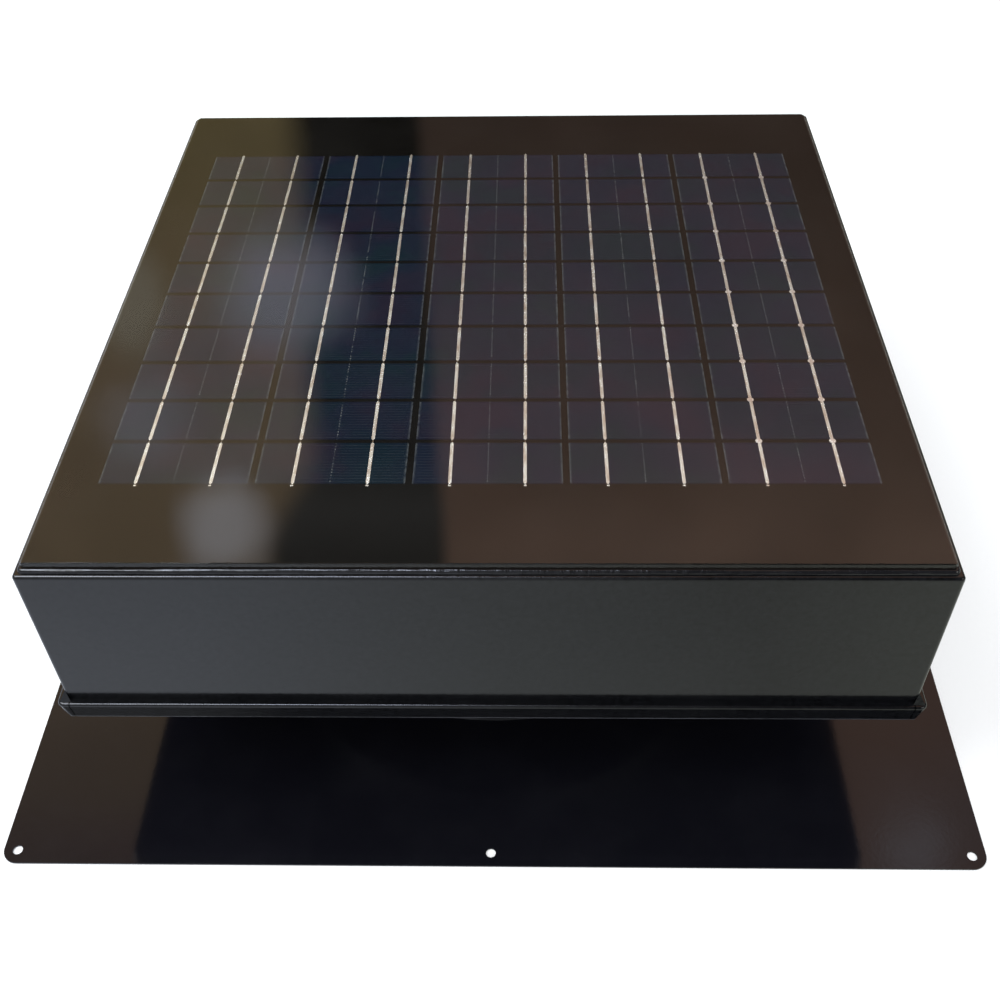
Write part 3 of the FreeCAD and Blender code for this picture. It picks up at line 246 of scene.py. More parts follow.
def zinc_plate(name):
    """Bright zinc with a faint iridescent passivation and spangle."""
    g = graph(name)
    place = g.place()
    spangle = g.split(g.cells(place, 700.0))[0]
    hue = g.noise(place, 90.0, 3.0)
    tint = g.ramp(hue, (0.30, (0.62, 0.60, 0.50)), (0.50, (0.66, 0.67, 0.68)), (0.70, (0.56, 0.60, 0.66)))
    tint = g.mix(g.times(spangle, 0.18), tint, (0.42, 0.43, 0.44))
    return g.principled(Base_Color=tint, Metallic=1.0, Roughness=g.rescale(spangle, 0.0, 1.0, 0.22, 0.36),
                        Normal=g.bump(g.noise(place, 900.0, 3.0), 0.02 * MM))


def cast_metal(name):
    """Die-cast aluminium: fine grain, soft mottling, and dirt in the low spots."""
    g = graph(name)
    place = g.place()
    grain = g.noise(place, 1400.0, 5.0, 0.65)
    cloud = g.noise(place, 60.0, 4.0)
    tint = g.ramp(cloud, (0.3, (0.42, 0.42, 0.43)), (0.7, (0.58, 0.59, 0.60)))
    tint = g.mix(g.ramp(grain, (0.30, 0.6), (0.45, 0.0)), tint, (0.20, 0.20, 0.20))
    return g.principled(Base_Color=tint, Metallic=1.0, Roughness=g.rescale(cloud, 0.3, 0.7, 0.38, 0.55),
                        Normal=g.bump(grain, 0.05 * MM))


def moulded(name, colour, roughness=0.45, grain=0.03 * MM, scale=1800.0):
    """Moulded plastic or rubber with a fine surface texture and slight fading."""
    g = graph(name)
    place = g.place()
    texture = g.noise(place, scale, 3.0, 0.6)
    cloud = g.noise(place, 35.0, 4.0)
    pale = tuple(c * 1.3 + 0.004 for c in colour)
    return g.principled(Base_Color=g.mix(g.rescale(cloud, 0.35, 0.7), colour, pale),
                        Roughness=g.rescale(cloud, 0.3, 0.7, roughness * 0.9, roughness * 1.15),
                        Normal=g.bump(texture, grain))


def sealant():
    """Glossy black silicone, tooled along the edge so that its highlights run in uneven streaks."""
    g = graph("sealant")
    place = g.place()
    drag_x = g.noise(g.scaled(place, (12.0, 260.0, 260.0)), 1.0, 3.0, 0.55)
    drag_y = g.noise(g.scaled(place, (260.0, 12.0, 260.0)), 1.0, 3.0, 0.55)
    drag = g.plus(g.times(drag_x, 0.7), g.times(drag_y, 0.3))
    cloud = g.noise(place, 30.0, 3.0)
    tint = g.mix(cloud, (0.004, 0.004, 0.0045), (0.010, 0.010, 0.012))
    return g.principled(Base_Color=tint, Roughness=g.rescale(cloud, 0.3, 0.7, 0.10, 0.20),
                        Normal=g.bump(drag, 1.2 * MM))


def solar_cell():
    """Blue silicon with printed silver, a shade of its own for each cell, and painted shade at each cell's
    ends.
    """
    g = graph("solar_cell")
    low = field_corner()
    place = g.place()
    x, y, _ = g.split(place)
    u = g.over(g.minus(x, low.x), COLUMN_PITCH)
    v = g.over(g.minus(y, low.y), ROW_PITCH)
    column, row = g.math("FLOOR", u), g.math("FLOOR", v)
    own = g.node("ShaderNodeTexWhiteNoise", noise_dimensions="2D")
    g.feed(own.inputs["Vector"], g.join(column, row))
    shade = own.outputs["Value"]
    in_x = g.times(g.minus(u, column), COLUMN_PITCH)
    in_y = g.times(g.minus(v, row), ROW_PITCH)

    end_gap = g.math("MINIMUM", in_y, g.minus(CELL_D, in_y))
    # painted shade: each cell darkens towards its ends, next to the gaps between rows
    painted_gap_shade = g.rescale(end_gap, 0.2 * MM, 1.0 * MM, 0.75, 0.0)
    blue = cell_blue(g, place, shade)
    silver = cell_silver(g, place, in_x, in_y)
    tint = g.mix(painted_gap_shade, g.mix(silver, blue, (0.22, 0.215, 0.215)), (0.0035, 0.0030, 0.0035))
    return g.principled(Base_Color=tint, Roughness=0.5, Specular_IOR_Level=0.0)


def cell_blue(g, place, shade):
    """The silicon's colour, with faint crystals and patches of purple and teal."""
    crystal = g.split(g.cells(g.scaled(place, (1.0, 0.7, 1.0)), 130.0))[0]
    blue = g.ramp(shade, (0.0, (0.0070, 0.0115, 0.0250)), (0.5, (0.0095, 0.0120, 0.0255)),
                  (1.0, (0.0062, 0.0125, 0.0225)))
    blue = g.mix(g.times(crystal, 0.30), blue, (0.0120, 0.0160, 0.0300))
    tone = g.noise(place, 22.0, 4.0, 0.6)
    blue = g.mix(g.rescale(tone, 0.50, 0.66, 0.0, 0.7), blue, (0.0170, 0.0100, 0.0230))
    return g.mix(g.rescale(tone, 0.48, 0.34, 0.0, 0.7), blue, (0.0060, 0.0170, 0.0230))


def cell_silver(g, place, in_x, in_y):
    """Where silver covers a cell: fingers, worn side rims, a dotted middle line and stray flecks."""
    side_gap = g.math("MINIMUM", in_x, g.minus(CELL_W, in_x))
    finger = g.math("LESS_THAN", g.math("PINGPONG", in_y, FINGER_PITCH / 2), FINGER_W / 2)
    finger = g.times(finger, g.math("GREATER_THAN", side_gap, 1.2 * MM))
    worn = g.rescale(g.noise(place, 300.0, 2.0), 0.35, 0.65)
    side_rim = g.times(g.rescale(side_gap, 0.3 * MM, 1.3 * MM, 0.26, 0.0), g.plus(worn, 0.35))
    middle = g.math("LESS_THAN", g.math("ABSOLUTE", g.minus(in_x, CELL_W / 2)), MIDDLE_HALF)
    dots = g.math("LESS_THAN", g.math("PINGPONG", in_y, DOT_PITCH / 2), DOT_PITCH / 4)
    dotted = g.times(g.times(middle, dots), g.times(worn, 0.7))
    printed = g.math("MAXIMUM", g.math("MAXIMUM", g.times(finger, 0.16), side_rim), dotted)

    fine_fleck = g.ramp(g.noise(place, 1900.0, 2.0), (0.70, 0.0), (0.78, 0.25))
    fleck = g.ramp(g.cells(place, 62.0, output="Distance"), (0.0, 1.0), (0.030, 0.0))
    fleck = g.times(fleck, g.rescale(g.noise(place, 31.0, 1.0), 0.52, 0.60))
    return g.math("MAXIMUM", printed, g.math("MAXIMUM", fine_fleck, fleck), clamp=True)


def laminate():
    """The black sheet round the cells, a warm black with a soft mottle."""
    g = graph("laminate")
    place = g.place()
    cloud = g.noise(place, 18.0, 4.0)
    grain = g.noise(place, 1100.0, 3.0)
    tint = g.ramp(cloud, (0.3, (0.0060, 0.0050, 0.0045)), (0.7, (0.0085, 0.0070, 0.0062)))
    tint = g.mix(g.ramp(grain, (0.62, 0.0), (0.80, 0.5)), tint, (0.016, 0.014, 0.012))
    return g.principled(Base_Color=tint, Roughness=0.7, Specular_IOR_Level=0.0)


def panel_glass():
    """Clear flat glass that mirrors the room, with dust and dried drops on it."""
    g = graph("panel_glass")
    place = g.place()
    drops = g.times(g.ramp(g.cells(place, 140.0, output="Distance"), (0.0, 1.0), (0.07, 0.0)), 0.06)
    haze = g.rescale(g.noise(place, 11.0, 5.0, 0.62), 0.42, 0.85, 0.0, 0.020)
    dust = g.times(g.ramp(g.noise(place, 1700.0, 2.0), (0.70, 0.0), (0.80, 1.0)), 0.10)
    film = g.plus(g.math("MAXIMUM", drops, dust), haze, clamp=True)
    front = g.minus(1.0, g.node("ShaderNodeNewGeometry").outputs["Backfacing"])
    wave = g.bump(g.noise(place, 5.0, 1.0), 0.12 * MM)
    fresnel = g.fill(g.node("ShaderNodeFresnel"), IOR=1.5, Normal=wave).outputs[0]
    mirror = g.fill(g.node("ShaderNodeBsdfGlossy"), Color=(0.97, 0.98, 0.98), Normal=wave,
                    Roughness=g.plus(0.03, g.times(film, 1.0))).outputs[0]
    clear = g.fill(g.node("ShaderNodeBsdfTransparent"), Color=(0.95, 0.97, 0.96)).outputs[0]
    dull = g.fill(g.node("ShaderNodeBsdfDiffuse"), Color=(0.42, 0.40, 0.37)).outputs[0]
    base = g.blend(g.times(film, g.times(front, 0.5)), clear, dull)
    return g.surface(g.blend(g.times(fresnel, front), base, mirror))


def ribbon_metal():
    """Solder-tinned copper: softly mottled, with coppery thin spots, and painted shade darkening it towards
    the panel's back.
    """
    g = graph("ribbon_metal")
    place = g.place()
    _, y, _ = g.split(place)
    low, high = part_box("solar_cells")
    wavy = g.noise(g.scaled(place, (1.0, 0.25, 1.0)), 420.0, 3.0)
    tint = g.ramp(wavy, (0.32, (0.72, 0.58, 0.50)), (0.55, (0.95, 0.87, 0.82)), (0.75, (1.0, 0.97, 0.94)))
    # painted shade and reflection: the ribbons darken towards the panel's back, where they mirror less of the
    # room
    dull = g.rescale(y, low.y, high.y, 1.0, 0.55)
    tint = g.mix(1.0, tint, g.join(dull, dull, dull), "MULTIPLY")
    return g.principled(Base_Color=tint, Metallic=0.55, Roughness=g.rescale(wavy, 0.3, 0.7, 0.28, 0.46),
                        Normal=g.bump(wavy, 0.05 * MM))


def painted_dip_shade():
    """Painted shade: dark coppery spots where the ribbon dives between two cells, for the shade in that dip.
    """
    g = graph("painted_dip_shade")
    speckle = g.noise(g.place(), 2600.0, 3.0)
    tint = g.ramp(speckle, (0.35, (0.16, 0.09, 0.05)), (0.65, (0.50, 0.40, 0.30)))
    return g.principled(Base_Color=tint, Metallic=0.6, Roughness=0.4, Normal=g.bump(speckle, 0.04 * MM))


def copper_winding():
    """Enamelled wire laid side by side round each tooth, with painted shade in the grooves between wires."""
    g = graph("copper_winding")
    x, y, _ = g.split(g.place())
    half_wire = 0.45 * MM
    height = g.rescale(g.math("PINGPONG", g.length(x, y), half_wire), 0.0, half_wire)
    # painted shade: the copper is darker in the grooves between wires and paler on their tops
    tint = g.mix(height, (0.20, 0.05, 0.015), (0.66, 0.24, 0.08))
    return g.principled(Base_Color=tint, Metallic=0.8, Roughness=0.32, Coat_Weight=0.6,
                        Normal=g.bump(height, 0.3 * MM))


def laminations(name):
    """Electrical steel sheets stacked along the motor's axis."""
    g = graph(name)
    _, _, z = g.split(g.place())
    half_sheet = 0.25 * MM
    sheet = g.rescale(g.math("PINGPONG", z, half_sheet), 0.0, half_sheet)
    tint = g.mix(g.ramp(sheet, (0.0, 0.0), (0.35, 1.0)), (0.10, 0.10, 0.11), (0.36, 0.36, 0.38))
    return g.principled(Base_Color=tint, Metallic=1.0, Roughness=0.42, Normal=g.bump(sheet, 0.08 * MM))


def circuit_board():
    """Green solder mask over copper tracks."""
    g = graph("circuit_board")
    place = g.place()
    tracks = g.cells(place, 260.0, feature="DISTANCE_TO_EDGE", output="Distance", randomness=0.35)
    mask = g.ramp(tracks, (0.05, (0.05, 0.24, 0.09)), (0.09, (0.015, 0.10, 0.04)))
    return g.principled(Base_Color=mask, Roughness=0.3, Coat_Weight=0.5, Normal=g.bump(tracks, 0.04 * MM))


# sizes of the cell field and of the silver printed on the cells
CELL_COLUMNS = 5
CELL_ROWS = 10
CELL_W = 78.0 * MM
CELL_D = 31.8 * MM
COLUMN_PITCH = 81.6 * MM
ROW_PITCH = 33.8 * MM
RIBBON_OFFSET = 19.5 * MM
FINGER_PITCH = 2.1 * MM
FINGER_W = 0.16 * MM
MIDDLE_HALF = 0.30 * MM
DOT_PITCH = 2.2 * MM

# Levels above the laminate's top, and a ribbon's thickness. The dots on the last column's ribbons
# reach 0.01 mm into the glass, and everything else clears it.
CELL_LIFT = 0.01 * MM
CELL_TOP = 0.04 * MM
GLASS_LIFT = 0.12 * MM
RIBBON_T = 0.06 * MM


def field_corner():
    """The cell field's low-x, low-y corner."""
    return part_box("solar_cells")[0]


# ---- pieces made here -----------------------------------------------------------------------------
class Shape:
    """Collects faces, then makes one mesh object of them that rides on the housing."""

    def __init__(self):
        self.points, self.faces, self.slots = [], [], []

    def prism(self, outline, low, high, slot=0):
        """An upright solid over a plan outline given anticlockwise."""
        first, count = len(self.points), len(outline)
        self.points += [(x, y, low) for x, y in outline] + [(x, y, high) for x, y in outline]
        self.faces.append([first + k for k in reversed(range(count))])
        self.faces.append([first + count + k for k in range(count)])
        for k in range(count):
            after = (k + 1) % count
            self.faces.append([first + k, first + after, first + count + after, first + count + k])
        self.slots += [slot] * (count + 2)

    def rings(self, loops):
        """A closed solid through loops of equally many points, capped at both ends."""
        first, count = len(self.points), len(loops[0])
        for loop in loops:
            self.points += [tuple(p) for p in loop]
        last = first + count * (len(loops) - 1)
        self.faces.append([first + k for k in reversed(range(count))])
        self.faces.append([last + k for k in range(count)])
        for level in range(len(loops) - 1):
            low = first + level * count
            for k in range(count):
                after = (k + 1) % count
                self.faces.append([low + k, low + after, low + count + after, low + count + k])
        self.slots += [0] * (2 + count * (len(loops) - 1))

    def make(self, name, materials):
        mesh = bpy.data.meshes.new(name)
        mesh.from_pydata(self.points, [], self.faces)
        for material in materials:
            mesh.materials.append(material)
        mesh.polygons.foreach_set("material_index", self.slots)
        mesh.update()
        thing = bpy.data.objects.new(name, mesh)
        bpy.context.scene.collection.objects.link(thing)
        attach(thing, "housing")
        return thing


def rectangle(x, y, corner, steps):
    """A plan outline, anticlockwise. Each corner is an arc of so many steps, and a single step is a nip."""
    points = []
    for cx, cy, start in ((x[1] - corner, y[0] + corner, -90), (x[1] - corner, y[1] - corner, 0),
                          (x[0] + corner, y[1] - corner, 90), (x[0] + corner, y[0] + corner, 180)):
        for k in range(steps + 1):
            a = math.radians(start + 90.0 * k / steps)
            points.append((cx + corner * math.cos(a), cy + corner * math.sin(a)))
    return points


def at_level(outline, z):
    return [(x, y, z) for x, y in outline]


def make_glass():
    """The front glass, with ground and rounded edges, lying a hair above the laminate."""
    low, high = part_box("panel_glass")
    edge, steps = 0.6 * MM, 5
    corner, corner_steps = 2 * MM, 6
    bottom = low.z + GLASS_LIFT
    sections = [(edge * 0.5, bottom), (0.0, bottom + edge * 0.5)]
    for k in range(steps + 1):
        a = math.radians(90.0 * k / steps)
        sections.append((edge * (1 - math.cos(a)), high.z - edge * (1 - math.sin(a))))
    loops = []
    for inset, z in sections:
        across, along = (low.x + inset, high.x - inset), (low.y + inset, high.y - inset)
        loops.append(at_level(rectangle(across, along, corner - inset, corner_steps), z))
    shape = Shape()
    shape.rings(loops)
    glass = shape.make("front_glass", [panel_glass()])
    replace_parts(glass, "panel_glass")


def make_cells():
    """Fifty cells on the laminate, each a thin wafer with its corners nipped off."""
    corner = field_corner()
    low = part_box("panel_encapsulant")[1].z
    nip = 0.7 * MM
    shape = Shape()
    for column in range(CELL_COLUMNS):
        for row in range(CELL_ROWS):
            x = corner.x + column * COLUMN_PITCH
            y = corner.y + row * ROW_PITCH
            outline = rectangle((x, x + CELL_W), (y, y + CELL_D), nip, 1)
            shape.prism(outline, low + CELL_LIFT, low + CELL_TOP)
    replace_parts(shape.make("silicon_cells", [solar_cell()]), "solar_cells")


def make_ribbons():
    """Tinned ribbons in one length per cell, necked down at the ends, with a dark spot of painted shade
    between the lengths.
    """
    corner = field_corner()
    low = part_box("panel_encapsulant")[1].z + CELL_TOP
    high = low + RIBBON_T
    half, neck, gap = 0.88 * MM, 0.24 * MM, 0.95 * MM
    spot_radius, spot_height = 0.40 * MM, 0.6 * RIBBON_T
    dot_radius, dot_height = 1.85 * MM, 1.5 * RIBBON_T
    tab_half, tab_near, tab_far, tab_corner = 0.9 * half, 0.5 * MM, 1.5 * MM, 0.3 * MM
    overhang = 1.2 * MM
    reach = (ROW_PITCH - CELL_D) / 2 - gap
    shape = Shape()
    for column in range(CELL_COLUMNS):
        dotted = column == CELL_COLUMNS - 1
        for side in (-1, 1):
            x = corner.x + column * COLUMN_PITCH + CELL_W / 2 + side * RIBBON_OFFSET
            for row in range(CELL_ROWS):
                first, last = row == 0, row == CELL_ROWS - 1
                y = corner.y + row * ROW_PITCH
                start = y if first else y - reach
                end = y + CELL_D + (overhang if last else reach)
                sway = 0.10 * MM * math.sin(7.3 * row + 2.1 * column + side)
                shape.prism(ribbon_outline(x + sway, half, neck, start, end), low, high)
                if dotted and not last:
                    shape.prism(disc(x, end + gap, dot_radius), low, low + dot_height)
                elif not last:
                    # a dark spot of painted shade where the ribbon dips between two cells
                    shape.prism(disc(x, end + gap, spot_radius), low, low + spot_height, slot=1)
            across, along = (x - tab_half, x + tab_half), (corner.y - tab_far, corner.y - tab_near)
            shape.prism(rectangle(across, along, tab_corner, 3), low, high)
    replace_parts(shape.make("cell_ribbon_runs", [ribbon_metal(), painted_dip_shade()]), "cell_ribbons")


def disc(x, y, radius, sides=12):
    turns = [2 * math.pi * k / sides for k in range(sides)]
    return [(x + radius * math.cos(a), y + radius * math.sin(a)) for a in turns]


def ribbon_outline(x, half, neck, start, end):
    taper = 1.1 * MM
    return [(x - neck, start), (x + neck, start), (x + half, start + taper), (x + half, end - taper),
            (x + neck, end), (x - neck, end), (x - half, end - taper), (x - half, start + taper)]


def make_screen():
    """A fine woven screen of stainless wire round the throat's outlet, with folded hems top and bottom."""
    low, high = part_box("outlet_screen")
    radius, hem_half = high.x - 0.55 * MM, 0.25 * MM
    wire, hem, tuck, uprights, hoops = 0.16 * MM, 6 * MM, 1 * MM, 300, 22
    shape = Shape()
    corners = [(wire, 0.0), (0.0, wire), (-wire, 0.0), (0.0, -wire)]
    for k in range(uprights):
        a = 2 * math.pi * k / uprights
        out, along = (math.cos(a), math.sin(a)), (-math.sin(a), math.cos(a))
        loop = [(radius * out[0] + p * out[0] + q * along[0], radius * out[1] + p * out[1] + q * along[1])
                for p, q in corners]
        shape.rings([at_level(loop, low.z + tuck), at_level(loop, high.z - tuck)])
    for k in range(hoops):
        z = low.z + hem + (high.z - low.z - 2 * hem) * k / (hoops - 1)
        closed_ring(shape, [(radius + wire, z), (radius, z + wire), (radius - wire, z), (radius, z - wire)])
    for bottom, top in ((low.z, low.z + hem), (high.z - hem, high.z)):
        closed_ring(shape, [(radius + hem_half, bottom), (radius + hem_half, top),
                            (radius - hem_half, top), (radius - hem_half, bottom)])
    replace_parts(shape.make("woven_screen", [metal("screen_wire", (0.50, 0.50, 0.49), 0.3)]), "outlet_screen")


def closed_ring(shape, section, segments=120):
    """Sweeps a section of (radius, z) points once round the Z axis."""
    first, count = len(shape.points), len(section)
    for k in range(segments):
        a = 2 * math.pi * k / segments
        shape.points += [(r * math.cos(a), r * math.sin(a), z) for r, z in section]
    for k in range(segments):
        here, there = first + k * count, first + ((k + 1) % segments) * count
        for j in range(count):
            after = (j + 1) % count
            shape.faces.append([here + j, there + j, there + after, here + after])
    shape.slots += [0] * (segments * count)


def paint(material, *nodes):
    for name in nodes:
        mesh = NODES[name].data
        mesh.materials.clear()
        mesh.materials.append(material)


def paint_frame():
    """Gives every CAD node its material."""
    flashing_coat = powder_coat("flashing_coat", (0.0047, 0.0047, 0.0072), 0.10, 0.012 * MM, wave=0.6 * MM,
                                uneven=(0.92, 1.08))
    paint(flashing_coat, "flashing_plate")
    hood_coat = powder_coat("hood_coat", (0.0040, 0.0042, 0.0050), 0.16, 0.04 * MM, dust=0.22,
                            cut_edge=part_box("hood_shell")[0].z)
    paint(hood_coat, "hood_shell")
    paint(powder_coat("throat_coat", (0.007, 0.007, 0.008), 0.22, 0.02 * MM), "throat_collar")
    paint(powder_coat("bracket_coat", (0.012, 0.012, 0.012), 0.38, 0.04 * MM),
          "hood_supports", "motor_bracket", "motor_can")
    paint(sealant(), "panel_sealant", "collar_seal")
    paint(moulded("foam_tape", (0.012, 0.012, 0.012), 0.8, 0.1 * MM, 2500.0), "panel_tape")
    paint(moulded("rubber", (0.014, 0.014, 0.014), 0.6, 0.04 * MM), "hood_washers", "cable_grommets",
          "motor_isolators")
    paint(moulded("black_plastic", (0.016, 0.016, 0.017), 0.42), "junction_box", "junction_box_lid",
          "cable_gland", "connector_plug", "connector_socket", "cable_clips")
    paint(moulded("cable_jacket", (0.012, 0.012, 0.013), 0.38, 0.02 * MM, 900.0), "panel_lead", "motor_lead",
          "splice_sleeve")
    paint(moulded("red_insulation", (0.36, 0.022, 0.014), 0.32, 0.01 * MM), "switch_leads")
    paint(moulded("backsheet", (0.012, 0.012, 0.012), 0.5), "panel_backsheet")
    paint(moulded("phenolic", (0.045, 0.022, 0.012), 0.4, 0.03 * MM, 900.0), "thermal_switch")
    paint(zinc_plate("zinc"), "hood_screws", "hood_weld_nuts", "bracket_bolts", "bracket_nuts",
          "motor_mount_screws", "motor_through_bolts", "switch_screws", "junction_box_screws",
          "hub_set_screw", "shaft_nut")
    paint(metal("stainless", (0.52, 0.52, 0.51), 0.3, (4.0, 4.0, 90.0)), "screen_band")
    paint(metal("brass", (0.62, 0.42, 0.17), 0.3), "box_terminals")
    paint(metal("blade_aluminium", (0.62, 0.63, 0.64), 0.3, (3.0, 60.0, 60.0), scratch=0.5), "fan_blades")
    paint(metal("spider_steel", (0.40, 0.40, 0.38), 0.36, (40.0, 40.0, 40.0), 0.03 * MM), "blade_spider")
    paint(metal("rivet_aluminium", (0.66, 0.66, 0.67), 0.28), "fan_rivets")
    paint(metal("magnet_nickel", (0.22, 0.22, 0.23), 0.25), "rotor_magnets")
    paint(cast_metal("cast_aluminium"), "motor_base_cap", "motor_top_cap", "fan_hub")
    paint(turned_metal("ground_steel", (0.56, 0.56, 0.57), 0.18), "motor_shaft", "rotor_spacers",
          "shaft_slinger", "bearing_outer_races", "bearing_inner_races", "lower_ball_set", "upper_ball_set")
    paint(laminations("laminations"), "stator_core", "rotor_core")
    paint(copper_winding(), "stator_windings")
    paint(circuit_board(), "driver_board")
    paint(laminate(), "panel_encapsulant")


# ---- stage ---------------------------------------------------------------------------------------
# where each pale patch of the mirrored room lies, how large and how strong it is, and its colour
PALE_PATCHES = [
    ((-0.255, -0.024), (0.047, 0.050), 0.90, (2.5, 2.4, 2.45)),
    ((-0.200, 0.172), (0.066, 0.068), 0.80, (1.25, 1.2, 1.35)),
    ((-0.335, 0.165), (0.040, 0.060), 0.60, (1.3, 1.2, 0.95)),
    ((-0.325, 0.065), (0.050, 0.045), 0.55, (1.5, 1.35, 1.35)),
    ((0.325, -0.290), (0.035, 0.035), 0.80, (1.3, 1.25, 1.35)),
    ((0.400, -0.250), (0.050, 0.060), 0.60, (0.60, 0.55, 0.55)),
    ((-0.330, -0.300), (0.200, 0.040), 0.55, (0.40, 0.24, 0.24)),
]


def make_world():
    """White to the eye and soft grey to matt surfaces; glossy surfaces mirror a dim warm room.

    The room is laid out on a plane that faces forwards and 45 degrees up, which is where the flat glass and
    the flashing look: across grows to the right, and rise grows from overhead towards the horizon.
    """
    world = bpy.data.worlds.new("studio")
    bpy.context.scene.world = world
    g = Graph(world)
    x, y, z = g.split(g.node("ShaderNodeTexCoord").outputs["Generated"])
    forwards, upwards = 0.705, 0.709
    facing = g.plus(g.times(y, forwards), g.times(z, upwards))
    depth = g.math("MAXIMUM", facing, 0.05)
    across = g.over(x, depth)
    rise = g.over(g.minus(g.times(y, upwards), g.times(z, forwards)), depth)
    spot = g.join(across, rise)
    level = g.rescale(rise, -0.5, 0.5)

    wall = room_walls(g, across, rise, level, spot)
    wall = add_pale_patches(g, wall, across, rise, spot)
    room = g.mix(1.0, wall, g.rescale(g.noise(spot, 9.0, 3.0), 0.25, 0.75, 0.82, 1.16), "MULTIPLY")
    behind = g.mix(g.rescale(x, 0.0, 0.14), (0.40, 0.42, 0.46), (0.05, 0.05, 0.055))
    room = g.mix(g.rescale(facing, 0.62, 0.80), behind, room)
    room = add_skylight(g, room, x, y, z)

    path = g.node("ShaderNodeLightPath").outputs
    colour = g.mix(path["Is Glossy Ray"], (0.85, 0.87, 0.90), room)
    colour = g.mix(path["Is Camera Ray"], colour, (1.0, 1.0, 1.0))
    background = g.fill(g.node("ShaderNodeBackground"), Color=colour, Strength=1.0)
    output = g.node("ShaderNodeOutputWorld")
    g.feed(output.inputs["Surface"], background.outputs[0])


def room_walls(g, across, rise, level, spot):
    """Olive on the left, brown on the right, both dimmer towards the horizon, and a dark post between."""
    wobble = g.times(g.minus(g.noise(spot, 6.0, 2.0), 0.5), 0.012)
    u = g.plus(g.plus(across, g.times(rise, 0.062)), wobble)
    olive_tone = g.ramp(level, (0.10, 0.25), (0.30, 0.55), (0.42, 0.85), (0.60, 0.74),
                        (0.80, (0.46, 0.49, 0.36)))
    brown_tone = g.ramp(level, (0.12, 0.60), (0.30, 0.78), (0.46, 1.0), (0.56, 0.62), (0.70, 0.33),
                        (0.83, 0.20))
    olive = g.mix(1.0, (1.24, 0.89, 0.54), olive_tone, "MULTIPLY")
    brown = g.mix(1.0, (0.92, 0.57, 0.42), brown_tone, "MULTIPLY")
    wall = g.mix(g.rescale(u, -0.12, -0.08), olive, brown)

    post_left = g.rescale(level, 0.45, 0.54, -0.224, -0.178, smooth=True)
    past_left = g.rescale(g.minus(u, post_left), -0.020, 0.020, smooth=True)
    before_right = g.rescale(u, -0.062, -0.080, smooth=True)
    post = g.times(g.times(past_left, before_right), g.rescale(level, 0.34, 0.40, smooth=True))
    return g.mix(post, wall, g.ramp(level, (0.45, 0.10), (0.49, 0.20), (0.54, 0.04), (0.80, 0.0)))


def add_pale_patches(g, wall, across, rise, spot):
    """Pale things in the room, out of focus and with uneven outlines."""
    for centre, size, amount, pale in PALE_PATCHES:
        du = g.over(g.minus(across, centre[0]), size[0])
        dv = g.over(g.minus(rise, centre[1]), size[1])
        away = g.plus(g.length(du, dv), g.times(g.minus(g.noise(spot, 14.0, 2.0), 0.5), 0.7))
        wall = g.mix(g.rescale(away, 0.25, 1.15, amount, 0.0, smooth=True), wall, pale)
    return wall


def add_skylight(g, room, x, y, z):
    """A bluish skylight overhead, to the left."""
    along = g.times(g.rescale(x, -0.03, -0.12, smooth=True), g.rescale(x, -0.62, -0.48, smooth=True))
    over = g.times(g.rescale(y, 0.13, 0.06, smooth=True), g.rescale(y, -0.15, -0.08, smooth=True))
    skylight = g.times(g.times(along, over), g.rescale(z, 0.3, 0.5))
    glow = g.mix(g.rescale(x, -0.42, -0.20), (6.0, 6.6, 8.6), (17.0, 18.6, 22.8))
    return g.mix(skylight, room, glow)


def make_floor():
    """A wide pale floor, just under the object."""
    mesh = bpy.data.meshes.new("floor")
    bm = bmesh.new()
    bmesh.ops.create_circle(bm, cap_ends=True, radius=6.0, segments=96)
    bm.to_mesh(mesh)
    bm.free()
    mesh.materials.append(floor_material())
    floor = bpy.data.objects.new("floor", mesh)
    floor.location.z = -0.2 * MM
    bpy.context.scene.collection.objects.link(floor)


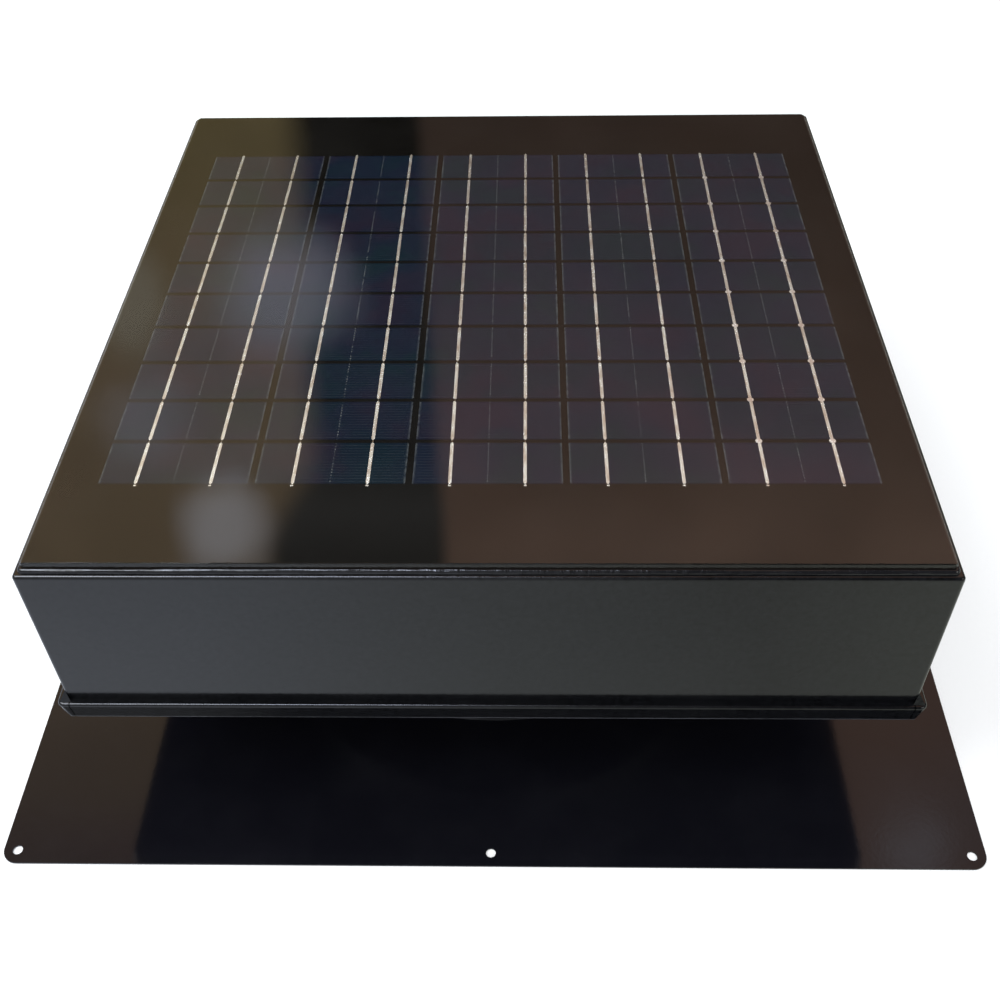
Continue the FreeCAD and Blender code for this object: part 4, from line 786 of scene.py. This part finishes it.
def floor_material():
    """Pale, and clear when seen from below. A glossy surface mirrors it dimmer, bluish on its left."""
    g = graph("floor")
    x, _, _ = g.split(g.place())
    matt = g.fill(g.node("ShaderNodeBsdfDiffuse"), Color=(0.86, 0.86, 0.86)).outputs[0]
    lift = g.fill(g.node("ShaderNodeEmission"), Color=(1.0, 1.0, 1.0), Strength=0.30).outputs[0]
    seen = g.node("ShaderNodeAddShader")
    g.feed(seen.inputs[0], matt)
    g.feed(seen.inputs[1], lift)
    tone = g.ramp(g.rescale(x, -0.4, 0.4), (0.0, (0.80, 0.86, 0.99)), (0.25, (0.76, 0.82, 0.92)),
                  (0.50, (0.56, 0.60, 0.61)), (0.72, (0.43, 0.45, 0.42)), (0.85, (0.52, 0.55, 0.49)),
                  (1.0, (0.66, 0.70, 0.63)))
    mirrored = g.fill(g.node("ShaderNodeEmission"), Color=tone, Strength=1.0).outputs[0]
    glossy = g.node("ShaderNodeLightPath").outputs["Is Glossy Ray"]
    below = g.node("ShaderNodeNewGeometry").outputs["Backfacing"]
    clear = g.node("ShaderNodeBsdfTransparent").outputs[0]
    return g.surface(g.blend(below, g.blend(glossy, seen.outputs[0], mirrored), clear))


def area_light(name, place, target, size, power, colour=(1.0, 1.0, 1.0)):
    lamp = bpy.data.lights.new(name, "AREA")
    lamp.shape = "RECTANGLE"
    lamp.size, lamp.size_y = size
    lamp.energy = power
    lamp.color = colour
    light = bpy.data.objects.new(name, lamp)
    light.location = place
    light.rotation_mode = "QUATERNION"
    light.rotation_quaternion = (Vector(target) - Vector(place)).to_track_quat("-Z", "Y")
    bpy.context.scene.collection.objects.link(light)


def make_lights():
    area_light("key", (-1.25, -0.35, 1.9), (-0.1, 0.0, 0.15), (1.5, 1.1), 26.0, (0.93, 0.97, 1.0))
    area_light("fill", (1.8, -1.2, 1.5), (0.0, 0.0, 0.1), (0.8, 0.8), 6.0, (1.0, 0.97, 0.93))


def make_camera():
    """The view from in front, above and a little to the right."""
    camera = bpy.data.cameras.new("camera")
    camera.sensor_width = 36.0
    camera.lens = 42.64
    camera.clip_start = 0.01
    holder = bpy.data.objects.new("camera", camera)
    yaw, down, roll = -0.0305, 0.7889, -0.0215
    ahead = Vector((math.sin(yaw) * math.cos(down), math.cos(yaw) * math.cos(down), -math.sin(down)))
    right = Vector((math.cos(yaw), -math.sin(yaw), 0.0))
    up = right.cross(ahead)
    turned = Matrix((right, up, -ahead)).transposed() @ Matrix.Rotation(roll, 3, "Z")
    holder.matrix_world = Matrix.Translation((0.0196, -0.6034, 0.6203)) @ turned.to_4x4()
    bpy.context.scene.collection.objects.link(holder)
    bpy.context.scene.camera = holder


def set_film():
    scene = bpy.context.scene
    scene.view_settings.view_transform = "Standard"
    scene.view_settings.look = "None"
    scene.cycles.denoising_input_passes = "RGB"


paint_frame()
make_glass()
make_cells()
make_ribbons()
make_screen()
make_world()
make_floor()
make_lights()
make_camera()
set_film()
